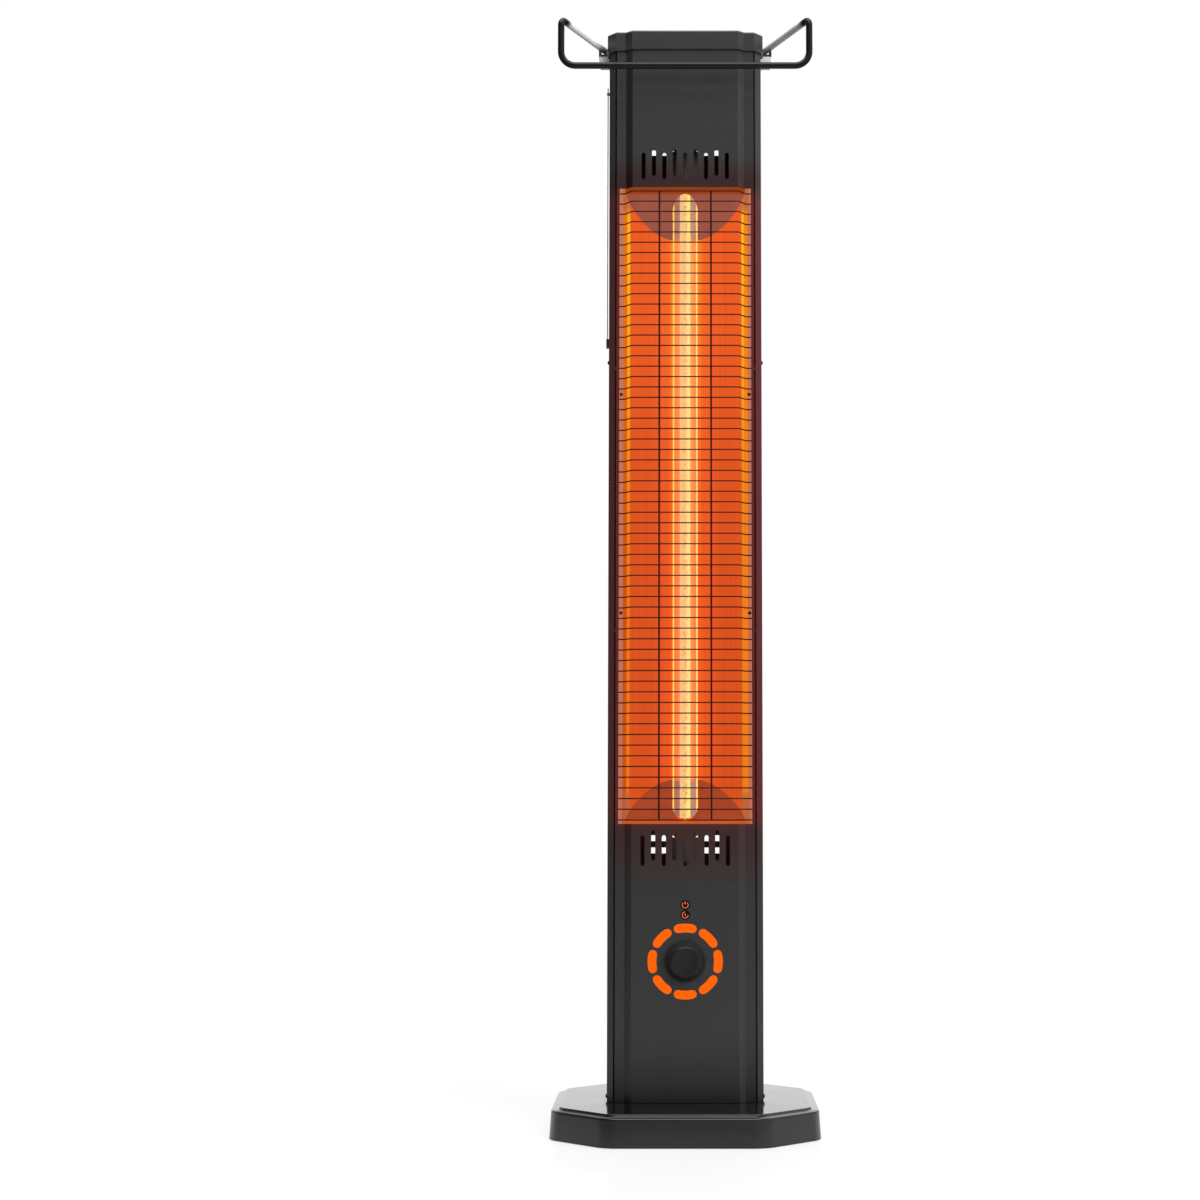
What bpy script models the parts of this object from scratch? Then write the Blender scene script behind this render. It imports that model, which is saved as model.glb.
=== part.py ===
"""Electric patio heater: an upright radiant column on a weighted eight-sided base.

The front faces -Y, +X is the viewer's right and +Z is up. The origin lies on the
floor under the middle of the base. All sizes are in metres.
"""

import math

import bmesh
import bpy
from mathutils import Matrix, Vector

# Fits and turned shapes
FIT = 0.0003
RUNNING_FIT = 0.00008
ROUND_STEPS = 24
SMALL_STEPS = 10
PAD_STEPS = 16
SMOOTH_ANGLE = math.radians(40)

# Base
BASE_WIDTH = 0.237
BASE_CORNER = 0.050
BASE_VERTEX_RADIUS = 0.024
BASE_VERTEX_LEAST = 0.002
BASE_RIM_LIFT = 0.0004
BASE_WALL_TOP = 0.0250
BASE_DRAFT = 0.0016
BASE_LEDGE_INSET = 0.0081
BASE_LEDGE_RISE = 0.0008
BASE_STEP_RUN = 0.0005
BASE_STEP_RISE = 0.0019
BASE_CROWN_INSET = 0.0460
BASE_CROWN_RISE = 0.0012
BASE_WALL = 0.0025
BOTTOM_PLATE_UNDER = 0.0020
BOTTOM_PLATE_SHEET = 0.0015
BALLAST_INSET = 0.0395
BALLAST_CORNER = 0.022
BALLAST_HEIGHT = 0.018
PAD_RADIUS = 0.009
PAD_STUD_RADIUS = 0.003
PAD_STUD_HEIGHT = 0.0050
PAD_INSET = 0.0335

# Column outline, seen from above, depths counted from the front face
COLUMN_WIDTH = 0.1384
COLUMN_DEPTH = 0.100
COLUMN_HEIGHT = 0.9615
HOUSING_SHEET = 0.0012
HOUSING_RIM_INSET = 0.0055
HOUSING_RIM_DEPTH = 0.0070
HOUSING_SIDE_DEPTH = 0.0135
HOUSING_REAR_CORNER = 0.004
PANEL_SHEET = 0.0010
SEAM_WIDTH = 0.0015
PANEL_FLANGE = 0.0085
PANEL_SLOPE = 0.0059
PANEL_STEP_DEPTH = 0.0052
PANEL_RETURN_DEPTH = 0.0158
PANEL_TONGUE_DEPTH = 0.0280

# Top cap
CAP_HEIGHT = 0.0175
CAP_WALL = 0.0015
CAP_TOP_SHEET = 0.0020
CAP_EDGE = 0.0009

# Window, guard and radiant parts
WINDOW_RISE = 0.2436
WINDOW_DROP = 0.1429
WINDOW_SIDE = 0.0026
GUARD_WIRES = 61
GUARD_WIRE_RADIUS = 0.00060
GUARD_BAR_RADIUS = 0.00090
GUARD_BAR_HALF = 0.02335
GUARD_MARGIN = 0.0035
GUARD_BEND_INSET = 0.0138
GUARD_SHOULDER_INSET = 0.0072
GUARD_SHOULDER_DEPTH = 0.0112
REFLECTOR_SHEET = 0.0008
REFLECTOR_MOUTH_INSET = 0.0069
REFLECTOR_BOWL_INSET = 0.0102
REFLECTOR_BOWL_EDGE = 0.0200
REFLECTOR_CURVE = 2.5
REFLECTOR_DEPTH = 0.0420
REFLECTOR_FRONT = 0.0133
REFLECTOR_TAB = 0.0090
REFLECTOR_OVERRUN = 0.0040
REFLECTOR_STEPS = 14
END_PLATE_APEX = 0.0412
END_PLATE_SLOPE = 1.42
END_PLATE_SHEET = 0.0008
TUBE_DEPTH = 0.0265
TUBE_RADIUS = 0.0115
TUBE_WALL = 0.0012
TUBE_OVERRUN = 0.0200
ELEMENT_RADIUS = 0.0050
HOLDER_WALL = 0.0020
HOLDER_CUP = 0.0080
HOLDER_LENGTH = 0.0220
HOLDER_SOCKET = 0.0060
HOLDER_FLANGE = 0.0020
HOLDER_NECK_RADIUS = 0.0080
HOLDER_NECK_LENGTH = 0.0060
SHELF_SHEET = 0.0012
SHELF_HALF = 0.0165
SHELF_FLANGE = 0.012
CUTOUT_RADIUS = 0.0080
CUTOUT_HEIGHT = 0.0070
CUTOUT_BELOW_WINDOW_TOP = 0.060

# Vents
VENT_COUNT = 9
VENT_PITCH = 0.00945
VENT_WIDTH = 0.0036
TOP_VENT_LENGTH = 0.0250
TOP_VENT_RISE = 0.0194
TOP_VENT_STAGGER = 0.0030
LOW_VENT_LENGTH = 0.0274
LOW_VENT_DROP = 0.0234
LOW_VENT_STAGGER = 0.0045
SLOT_END_STEPS = 3
REAR_ROW_COUNT = 4
REAR_ROW_PITCH = 0.0113
REAR_ROW_WIDTH = 0.0054
REAR_ROW_LENGTH = 0.0270
REAR_ROW_MIDDLE = 0.0230
REAR_ROW_DROP = 0.0256
REAR_ROW_RISE = 0.0598

# Controls
KNOB_RISE = 0.1230
KNOB_RADIUS = 0.0178
KNOB_FACE_RADIUS = 0.0138
KNOB_SKIRT = 0.0050
KNOB_LENGTH = 0.0125
KNOB_GAP = 0.0020
KNOB_FLUTES = 30
KNOB_FLUTE_DEPTH = 0.0005
KNOB_BORE_DEPTH = 0.0095
SHAFT_RADIUS = 0.0030
PRESS_TRAVEL = 0.0010
SLIDER_SHEET = 0.0012
ENCODER_WIDTH = 0.0140
ENCODER_WALL = 0.0009
NECK_BUSH_RADIUS = 0.0044
BUSH_PROUD = 0.0006
BOARD_DEPTH = 0.0118
BOARD_SHEET = 0.0016
BOARD_MARGIN = 0.0038
BOARD_BELOW = 0.046
BOARD_ABOVE = 0.058
RING_SEGMENTS = 8
RING_RADIUS = 0.0293
RING_BAND_HALF = 0.0036
RING_SEGMENT_ANGLE = math.radians(39.5)
RING_BACK_SHEET = 0.0020
RING_BACK_MARGIN = 0.0016
ICON_RADIUS = 0.0040
ICON_PITCH = 0.0088
ICON_RISE = 0.0451
ICON_BACK_SHEET = 0.0018

# Power parts at the back
POWER_BOARD_HALF = 0.040
POWER_BOARD_RISE = 0.0968
POWER_BOARD_HEIGHT = 0.090
POWER_BOARD_STANDOFF = 0.0060
STANDOFF_RADIUS = 0.003
STANDOFF_MARGIN = 0.006
RELAY_SIZE = (0.018, 0.015, 0.026)
SINK_SIZE = (0.034, 0.016, 0.044)
SINK_FINS = 5
SINK_FIN_SHEET = 0.0020
SINK_BASE_SHEET = 0.0030
TERMINAL_SIZE = (0.050, 0.018, 0.016)
TERMINAL_RISE = 0.0648
LEAD_RADIUS = 0.0015
LEAD_DEPTH = 0.058
LEAD_SPREAD = 0.014
LEAD_LOOP = 0.020
LEAD_RISE = 0.012
LEAD_SWING = 0.035
LEAD_BEND = 0.012
LEAD_STEPS = 5
LEAD_SIDES = 8
GLAND_RISE = 0.0308
GLAND_RADIUS = 0.0080
GLAND_NUT_RADIUS = 0.0105
GLAND_BORE = 0.0040
GLAND_REACH = 0.016
GLAND_NUT_SHEET = 0.004

# Foot bracket, bolts and side screws
BRACKET_SHEET = 0.0020
BRACKET_DEPTH = 0.060
BRACKET_RISE = 0.016
BOLT_RADIUS = 0.0025
BOLT_HEAD_RADIUS = 0.0048
BOLT_HEAD_HEIGHT = 0.0030
BOLT_SPREAD_X = 0.050
BOLT_SPREAD_Y = 0.022
BOLT_ENGAGE = 0.010
SCREW_RADIUS = 0.0010
SCREW_HEAD_RADIUS = 0.0018
SCREW_HEAD_HEIGHT = 0.0012
SCREW_LENGTH = 0.0060
SCREW_DEPTH = 0.0235
SCREW_FOOT_RISE = 0.0034
SCREW_UPPER_RISE = 0.6615

# Tip-over switch
TIP_PLATE = (0.034, 0.026, 0.002)
TIP_EAR_SHEET = 0.0020
TIP_EAR_GAP = 0.0160
TIP_PIVOT_RISE = 0.034
TIP_PIN_RADIUS = 0.0013
TIP_EYE_RADIUS = 0.0034
TIP_ARM_HALF = 0.0016
TIP_WEIGHT_RADIUS = 0.0060
TIP_WEIGHT_HEIGHT = 0.0100
TIP_WEIGHT_DROP = 0.0240
TIP_SWITCH_SIZE = (0.0060, 0.0120, 0.0080)

# Rail round the top
RAIL_ROD_RADIUS = 0.0030
RAIL_RISE = 0.0074
RAIL_REACH = 0.0428
RAIL_FRONT_GAP = 0.0200
RAIL_DROP = 0.0434
RAIL_CORNER_RADIUS = 0.0130
RAIL_TOP_RADIUS = 0.0045
RAIL_END_GAP = 0.0028
RAIL_END_DEPTH = 0.0340
RAIL_END_FALL = 0.0124
RAIL_STEPS = 5
RAIL_SIDES = 10
HOOK_LENGTH = 0.020
HOOK_DEPTH = 0.0340
HOOK_REACH = 0.0086
HOOK_WALL = 0.0023
HOOK_FLOOR = 0.0022
HOOK_GAP = 0.0030
HOOK_BLOCK_HEIGHT = 0.0043
HOOK_TAPER = 0.0009
HOOK_SCREW_REACH = 0.0045

# Thin rod on the left side
SIDE_ROD_RADIUS = 0.0005
SIDE_ROD_OUT = 0.0030
SIDE_ROD_DEPTH = 0.0600
SIDE_ROD_DROP = 0.0327
SIDE_ROD_LENGTH = 0.2459
SIDE_CLIP_HALF = 0.0024
SIDE_CLIP_HEIGHT = 0.0014
SIDE_CLIP_BELOW_TOP = 0.0049
SIDE_BLOCK_HEIGHT = 0.0083
SIDE_CLIP_WALL = 0.0004

# Places that follow from the sizes
FRONT = -COLUMN_DEPTH / 2
SIDE_HALF = COLUMN_WIDTH / 2
SIDE_INNER = SIDE_HALF - HOUSING_SHEET
REAR_INNER = COLUMN_DEPTH - HOUSING_SHEET
HOUSING_RIM_HALF = SIDE_HALF - HOUSING_RIM_INSET
PANEL_EDGE_HALF = HOUSING_RIM_HALF - SEAM_WIDTH
PANEL_STEP_HALF = PANEL_EDGE_HALF - PANEL_FLANGE
PANEL_FACE_HALF = PANEL_STEP_HALF - PANEL_SLOPE
CAP_SIDE_HALF = SIDE_HALF + FIT + CAP_WALL
BASE_LEDGE_TOP = BASE_WALL_TOP + BASE_LEDGE_RISE
BASE_EDGE_TOP = BASE_LEDGE_TOP + BASE_STEP_RISE
BASE_EDGE_INSET = BASE_LEDGE_INSET + BASE_STEP_RUN
BASE_TOP = BASE_EDGE_TOP + BASE_CROWN_RISE
COLUMN_BOTTOM = BASE_TOP + FIT
COLUMN_TOP = COLUMN_BOTTOM + COLUMN_HEIGHT
CAP_TOP = COLUMN_TOP + FIT + CAP_TOP_SHEET
CAP_BOTTOM = CAP_TOP - CAP_HEIGHT
FLOOR_PLATE_TOP = BOTTOM_PLATE_UNDER + BOTTOM_PLATE_SHEET
PAD_SPREAD = BASE_WIDTH / 2 - PAD_INSET
WINDOW_BOTTOM = COLUMN_BOTTOM + WINDOW_RISE
WINDOW_TOP = COLUMN_TOP - WINDOW_DROP
WINDOW_MIDDLE = (WINDOW_BOTTOM + WINDOW_TOP) / 2
WINDOW_HALF = PANEL_EDGE_HALF - WINDOW_SIDE
REFLECTOR_MOUTH_HALF = PANEL_EDGE_HALF - REFLECTOR_MOUTH_INSET
REFLECTOR_BOWL_HALF = PANEL_EDGE_HALF - REFLECTOR_BOWL_INSET
TUBE_END_LOW = WINDOW_BOTTOM - TUBE_OVERRUN
HOLDER_SEAT_LOW = TUBE_END_LOW - FIT
HOLDER_RIM_LOW = HOLDER_SEAT_LOW + HOLDER_CUP
HOLDER_FLANGE_LOW = HOLDER_RIM_LOW - HOLDER_LENGTH
HOLDER_NECK_LOW = HOLDER_FLANGE_LOW - HOLDER_NECK_LENGTH
SOCKET_FLOOR_LOW = HOLDER_RIM_LOW - HOLDER_SOCKET
HOLDER_RADIUS = TUBE_RADIUS + FIT + HOLDER_WALL
HOLDER_FLANGE_RADIUS = HOLDER_RADIUS + HOLDER_FLANGE
KNOB_HEIGHT = COLUMN_BOTTOM + KNOB_RISE
KNOB_BACK = -KNOB_GAP
ENCODER_FRONT = PANEL_SHEET + FIT + RING_BACK_SHEET + FIT
ENCODER_BACK = BOARD_DEPTH - FIT
BOARD_HALF = PANEL_FACE_HALF - BOARD_MARGIN
POWER_BOARD_BOTTOM = COLUMN_BOTTOM + POWER_BOARD_RISE
TERMINAL_BOTTOM = COLUMN_BOTTOM + TERMINAL_RISE
TERMINAL_TOP = TERMINAL_BOTTOM + TERMINAL_SIZE[2]
GLAND_HEIGHT = COLUMN_BOTTOM + GLAND_RISE
TIP_PLATE_UNDER = COLUMN_BOTTOM + BRACKET_SHEET + FIT
TIP_PIVOT = TIP_PLATE_UNDER + TIP_PIVOT_RISE
RAIL_TOP = CAP_TOP + RAIL_RISE
RAIL_HALF = SIDE_HALF + RAIL_REACH
RAIL_END_HALF = CAP_SIDE_HALF + RAIL_END_GAP
HOOK_OUTER_HALF = CAP_SIDE_HALF + HOOK_REACH
SIDE_ROD_TOP = COLUMN_TOP - SIDE_ROD_DROP

# Finishes: colour, roughness and metallic value
FINISHES = {
    "black_coat": ((0.030, 0.030, 0.032), 0.42, 0.0),
    "gloss_black": ((0.012, 0.012, 0.013), 0.12, 0.0),
    "black_plastic": ((0.015, 0.015, 0.016), 0.45, 0.0),
    "bare_steel": ((0.55, 0.55, 0.56), 0.35, 1.0),
    "polished_reflector": ((0.90, 0.86, 0.82), 0.12, 1.0),
    "guard_wire": ((0.050, 0.048, 0.048), 0.35, 0.6),
    "quartz": ((0.95, 0.72, 0.45), 0.05, 0.0),
    "carbon_filament": ((1.0, 0.55, 0.15), 0.60, 0.0),
    "ceramic": ((0.86, 0.84, 0.80), 0.55, 0.0),
    "amber_light": ((1.0, 0.28, 0.02), 0.40, 0.0),
    "circuit_board": ((0.05, 0.22, 0.10), 0.50, 0.0),
    "rubber": ((0.02, 0.02, 0.02), 0.85, 0.0),
    "ballast_iron": ((0.16, 0.16, 0.17), 0.60, 0.8),
    "wire_sleeve": ((0.75, 0.72, 0.66), 0.70, 0.0),
}


def clear_scene():
    """Remove every object that the file opened with."""
    for obj in list(bpy.data.objects):
        bpy.data.objects.remove(obj, do_unlink=True)


def make_material(name, finish):
    """Make one object's own material from a named finish."""
    colour, roughness, metallic = FINISHES[finish]
    material = bpy.data.materials.new(name)
    material.use_nodes = True
    shader = material.node_tree.nodes["Principled BSDF"]
    shader.inputs["Base Color"].default_value = (*colour, 1.0)
    shader.inputs["Roughness"].default_value = roughness
    shader.inputs["Metallic"].default_value = metallic
    material.diffuse_color = (*colour, 1.0)
    return material


def make_object(name, bm, finish=None, origin=(0.0, 0.0, 0.0), round_piece=False):
    """Turn a bmesh drawn in world places into a named object with its own origin."""
    bmesh.ops.recalc_face_normals(bm, faces=bm.faces)
    bmesh.ops.translate(bm, verts=bm.verts, vec=-Vector(origin))
    mesh = bpy.data.meshes.new(name)
    bm.to_mesh(mesh)
    bm.free()
    if round_piece:
        mesh.shade_smooth()
        mesh.set_sharp_from_angle(angle=SMOOTH_ANGLE)
    obj = bpy.data.objects.new(name, mesh)
    obj.location = origin
    bpy.context.scene.collection.objects.link(obj)
    if finish is not None:
        mesh.materials.append(make_material(name, finish))
    return obj


def make_cutter(name, bm):
    """Make a shape that only cuts or trims others."""
    cutter = make_object(name, bm)
    cutter.hide_render = True
    cutter.display_type = "WIRE"
    return cutter


def combine(obj, cutter, operation="DIFFERENCE"):
    """Add one Boolean step to an object."""
    modifier = obj.modifiers.new(operation.title() + " " + cutter.name, "BOOLEAN")
    modifier.operation = operation
    modifier.solver = "EXACT"
    modifier.object = cutter


def at_depth(depth):
    """World Y of a depth counted back from the column's front face."""
    return FRONT + depth


def arc(centre, radius, start, end, steps):
    """Points on a flat arc, both ends included."""
    span = end - start
    angles = [start + span * i / steps for i in range(steps + 1)]
    return [(centre[0] + radius * math.cos(a), centre[1] + radius * math.sin(a)) for a in angles]


def circle(centre, radius, steps):
    """Points on a full flat circle."""
    return arc(centre, radius, 0.0, math.tau * (steps - 1) / steps, steps - 1)


def mirrored(half_outline):
    """A closed outline from its +X half, listed from front to back."""
    return half_outline + [(-x, y) for x, y in reversed(half_outline)]


def side_shift(path, distance, closed):
    """A copy of a flat path moved to its left, with mitred corners."""
    count = len(path)
    normals = []
    for i in range(count if closed else count - 1):
        a, b = Vector(path[i]), Vector(path[(i + 1) % count])
        run = (b - a).normalized()
        normals.append(Vector((-run.y, run.x)))
    shifted = []
    for i in range(count):
        before = normals[i - 1] if closed or i > 0 else normals[0]
        after = normals[i] if closed or i < count - 1 else normals[-1]
        mitre = (before + after) / (1.0 + before.dot(after))
        shifted.append(tuple(Vector(path[i]) + mitre * distance))
    return shifted


def sheet_outline(path, sheet):
    """Closed outline of a bent sheet whose middle line is an open path."""
    left = side_shift(path, sheet / 2, closed=False)
    right = side_shift(path, -sheet / 2, closed=False)
    return left + list(reversed(right))


def add_prism(bm, outline, low, high, along="Z"):
    """Add a straight prism: a flat outline carried along one axis."""
    places = {
        "Z": lambda a, b, c: (a, b, c),
        "Y": lambda a, b, c: (a, c, b),
        "X": lambda a, b, c: (c, a, b),
    }[along]
    ring = [bm.verts.new(places(a, b, low)) for a, b in outline]
    face = bm.faces.new(ring)
    grown = bmesh.ops.extrude_face_region(bm, geom=[face])["geom"]
    moved = [item for item in grown if isinstance(item, bmesh.types.BMVert)]
    bmesh.ops.translate(bm, verts=moved, vec=Vector(places(0.0, 0.0, high - low)))


def prism(outline, low, high, along="Z"):
    """A bmesh holding one straight prism."""
    bm = bmesh.new()
    add_prism(bm, outline, low, high, along)
    return bm


def add_box(bm, low, high):
    """Add a box given by two opposite corners."""
    outline = [(low[0], low[1]), (high[0], low[1]), (high[0], high[1]), (low[0], high[1])]
    add_prism(bm, outline, low[2], high[2])


def box(low, high):
    """A bmesh holding one box."""
    bm = bmesh.new()
    add_box(bm, low, high)
    return bm


def turned(profile, steps, centre=(0.0, 0.0, 0.0), toward=(0.0, 0.0, 1.0)):
    """Spin an open (radius, height) profile round an axis, then close its ends."""
    bm = bmesh.new()
    verts = [bm.verts.new((radius, 0.0, height)) for radius, height in profile]
    edges = [bm.edges.new(pair) for pair in zip(verts, verts[1:])]
    bmesh.ops.spin(bm, geom=verts + edges, cent=(0, 0, 0), axis=(0, 0, 1),
                   angle=2 * math.pi, steps=steps, use_merge=True)
    bmesh.ops.remove_doubles(bm, verts=bm.verts, dist=1e-6)
    rims = [edge for edge in bm.edges if edge.is_boundary]
    if rims:
        bmesh.ops.holes_fill(bm, edges=rims, sides=0)
    turn = Vector((0.0, 0.0, 1.0)).rotation_difference(Vector(toward)).to_matrix().to_4x4()
    bmesh.ops.transform(bm, matrix=Matrix.Translation(centre) @ turn, verts=bm.verts)
    return bm


def add_rod(bm, path, radius, sides, roll=0.0):
    """Add a rod of even thickness along a path, mitred at each bend."""
    points = [Vector(p) for p in path]
    runs = [(b - a).normalized() for a, b in zip(points, points[1:])]
    across = runs[0].orthogonal().normalized()
    across = Matrix.Rotation(roll, 3, runs[0]) @ across
    rings = []
    for i, point in enumerate(points):
        before = runs[max(i - 1, 0)]
        after = runs[min(i, len(runs) - 1)]
        if i > 0:
            across = before.rotation_difference(after) @ across
        up = after.cross(across)
        cut = (before + after).normalized()
        ring = []
        for k in range(sides):
            angle = 2 * math.pi * k / sides
            offset = (across * math.cos(angle) + up * math.sin(angle)) * radius
            offset -= after * (offset.dot(cut) / after.dot(cut))
            ring.append(bm.verts.new(point + offset))
        rings.append(ring)
    for low, high in zip(rings, rings[1:]):
        for k in range(sides):
            bm.faces.new((low[k], low[(k + 1) % sides], high[(k + 1) % sides], high[k]))
    bm.faces.new(list(reversed(rings[0])))
    bm.faces.new(rings[-1])


def rounded_path(corners, radii, steps):
    """A path through corner points whose inner corners become arcs."""
    points = [Vector(p) for p in corners]
    path = [points[0]]
    for i in range(1, len(points) - 1):
        back = (points[i - 1] - points[i]).normalized()
        ahead = (points[i + 1] - points[i]).normalized()
        half = back.angle(ahead) / 2
        centre = points[i] + (back + ahead).normalized() * (radii[i - 1] / math.sin(half))
        start = points[i] + back * (radii[i - 1] / math.tan(half)) - centre
        axis = start.cross(points[i] - centre).normalized()
        sweep = math.pi - 2 * half
        for k in range(steps + 1):
            path.append(centre + Matrix.Rotation(sweep * k / steps, 3, axis) @ start)
    path.append(points[-1])
    return path


# Outlines of the base and the column


def base_outline(inset, width=BASE_WIDTH, corner=BASE_CORNER, vertex_radius=BASE_VERTEX_RADIUS):
    """Eight-sided outline with rounded vertices, moved inwards by an inset."""
    turn = math.pi / 4
    half = width / 2 - inset
    flat = width / 2 - corner - inset * math.tan(turn / 2)
    corners = [(half, -flat), (half, flat), (flat, half), (-flat, half),
               (-half, flat), (-half, -flat), (-flat, -half), (flat, -half)]
    if vertex_radius <= 0.0:
        return corners
    points = []
    radius = max(vertex_radius - inset, BASE_VERTEX_LEAST)
    reach = radius * math.tan(turn / 2)
    for i, corner_point in enumerate(corners):
        back = (Vector(corners[i - 1]) - Vector(corner_point)).normalized()
        start = Vector(corner_point) + back * reach
        inward = Vector((back.y, -back.x))
        centre = start + inward * radius
        first = math.atan2(-inward.y, -inward.x)
        points += arc(centre, radius, first, first + turn, 4)
    return points


def column_half_outline():
    """The +X half of the column seen from above, from front to back."""
    corner = HOUSING_REAR_CORNER
    centre = (SIDE_HALF - corner, at_depth(COLUMN_DEPTH - corner))
    return [
        (PANEL_FACE_HALF, at_depth(0.0)),
        (PANEL_STEP_HALF, at_depth(PANEL_STEP_DEPTH)),
        (PANEL_EDGE_HALF, at_depth(PANEL_STEP_DEPTH)),
        (HOUSING_RIM_HALF, at_depth(HOUSING_RIM_DEPTH)),
        (SIDE_HALF, at_depth(HOUSING_SIDE_DEPTH)),
    ] + arc(centre, corner, 0.0, math.pi / 2, 3)


def column_outline(outset):
    """Closed outline of the whole column, moved outwards."""
    return side_shift(mirrored(column_half_outline()), -outset, closed=True)


def bowl_depth(x):
    """Depth of the reflector's bowl at a distance from its middle."""
    share = abs(x) / REFLECTOR_BOWL_HALF
    return REFLECTOR_DEPTH - (REFLECTOR_DEPTH - REFLECTOR_BOWL_EDGE) * share ** REFLECTOR_CURVE


def bowl_path():
    """Middle line of the reflector's bowl from one side wall to the other."""
    count = REFLECTOR_STEPS
    xs = [REFLECTOR_BOWL_HALF * (1 - 2 * i / count) for i in range(count + 1)]
    return [(x, at_depth(bowl_depth(x))) for x in xs]


# Base pieces


def wall_inset(height):
    """Inset of the base cover's inner wall face at a height."""
    rise = BASE_WALL_TOP - BASE_RIM_LIFT
    return BASE_WALL + BASE_DRAFT * (height - BASE_RIM_LIFT) / rise


def make_base_cover():
    """Hollow moulded cover: drafted wall, ledge, step and a top that rises to the column."""
    levels = [
        (BASE_RIM_LIFT, 0.0),
        (BASE_WALL_TOP, BASE_DRAFT),
        (BASE_LEDGE_TOP, BASE_LEDGE_INSET),
        (BASE_EDGE_TOP, BASE_EDGE_INSET),
        (BASE_TOP, BASE_CROWN_INSET),
    ]
    cover = make_object("base_cover", stacked(levels), "gloss_black")
    under = BASE_RIM_LIFT - BASE_WALL
    inside = BASE_WALL_TOP - BASE_WALL
    hollow = [
        (under, wall_inset(under)),
        (inside, wall_inset(inside)),
        (BASE_LEDGE_TOP - BASE_WALL, BASE_LEDGE_INSET + BASE_WALL),
        (BASE_EDGE_TOP - BASE_WALL, BASE_EDGE_INSET + BASE_WALL),
        (BASE_TOP - BASE_WALL, BASE_CROWN_INSET),
    ]
    combine(cover, make_cutter("base_cover_hollow", stacked(hollow)))
    bolts = bmesh.new()
    for x, y in bolt_places():
        add_prism(bolts, circle((x, y), BOLT_RADIUS + FIT, 12),
                  BASE_TOP - 2 * BASE_WALL, BASE_TOP + BASE_WALL)
    combine(cover, make_cutter("base_cover_bolt_holes", bolts))


def stacked(levels):
    """Solid between base outlines given as (height, inset) levels."""
    bm = bmesh.new()
    rings = []
    for height, inset in levels:
        rings.append([bm.verts.new((x, y, height)) for x, y in base_outline(inset)])
    count = len(rings[0])
    for low, high in zip(rings, rings[1:]):
        for k in range(count):
            bm.faces.new((low[k], low[(k + 1) % count], high[(k + 1) % count], high[k]))
    bm.faces.new(list(reversed(rings[0])))
    bm.faces.new(rings[-1])
    return bm


def pad_places():
    """Centres of the four rubber pads."""
    return {
        "front_left": (-PAD_SPREAD, -PAD_SPREAD),
        "front_right": (PAD_SPREAD, -PAD_SPREAD),
        "rear_left": (-PAD_SPREAD, PAD_SPREAD),
        "rear_right": (PAD_SPREAD, PAD_SPREAD),
    }


def bolt_places():
    """Centres of the four bolts that hold the column on the base."""
    return [(sx * BOLT_SPREAD_X, sy * BOLT_SPREAD_Y) for sx in (-1, 1) for sy in (-1, 1)]


def make_bottom_plate():
    """Flat plate that closes the base from below and carries the ballast."""
    low = BOTTOM_PLATE_UNDER
    plate = make_object("base_bottom_plate",
                        prism(base_outline(wall_inset(FLOOR_PLATE_TOP) + FIT), low, FLOOR_PLATE_TOP),
                        "black_coat")
    holes = bmesh.new()
    for x, y in pad_places().values():
        add_prism(holes, circle((x, y), PAD_STUD_RADIUS + FIT, 12),
                  low - BOTTOM_PLATE_SHEET, FLOOR_PLATE_TOP + BOTTOM_PLATE_SHEET)
    combine(plate, make_cutter("base_bottom_plate_holes", holes))


def make_ballast():
    """Iron ballast block inside the base, drilled for the column's bolts."""
    low = FLOOR_PLATE_TOP + FIT
    outline = base_outline(0.0, BASE_WIDTH - 2 * BALLAST_INSET, BALLAST_CORNER, 0.0)
    block = make_object("base_ballast", prism(outline, low, low + BALLAST_HEIGHT), "ballast_iron")
    holes = bmesh.new()
    for x, y in bolt_places():
        add_prism(holes, circle((x, y), BOLT_RADIUS + FIT, 12),
                  low - BALLAST_HEIGHT, low + 2 * BALLAST_HEIGHT)
    combine(block, make_cutter("base_ballast_holes", holes))


def make_pads():
    """Four rubber pads, each with a stud through the bottom plate."""
    for place, (x, y) in pad_places().items():
        top = BOTTOM_PLATE_UNDER - FIT
        profile = [
            (0.0, 0.0),
            (PAD_RADIUS, 0.0),
            (PAD_RADIUS, top),
            (PAD_STUD_RADIUS, top),
            (PAD_STUD_RADIUS, PAD_STUD_HEIGHT),
            (0.0, PAD_STUD_HEIGHT),
        ]
        bm = turned(profile, PAD_STEPS, centre=(x, y, 0.0))
        make_object("foot_pad_" + place, bm, "rubber", origin=(x, y, 0.0), round_piece=True)


# Column shell


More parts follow.
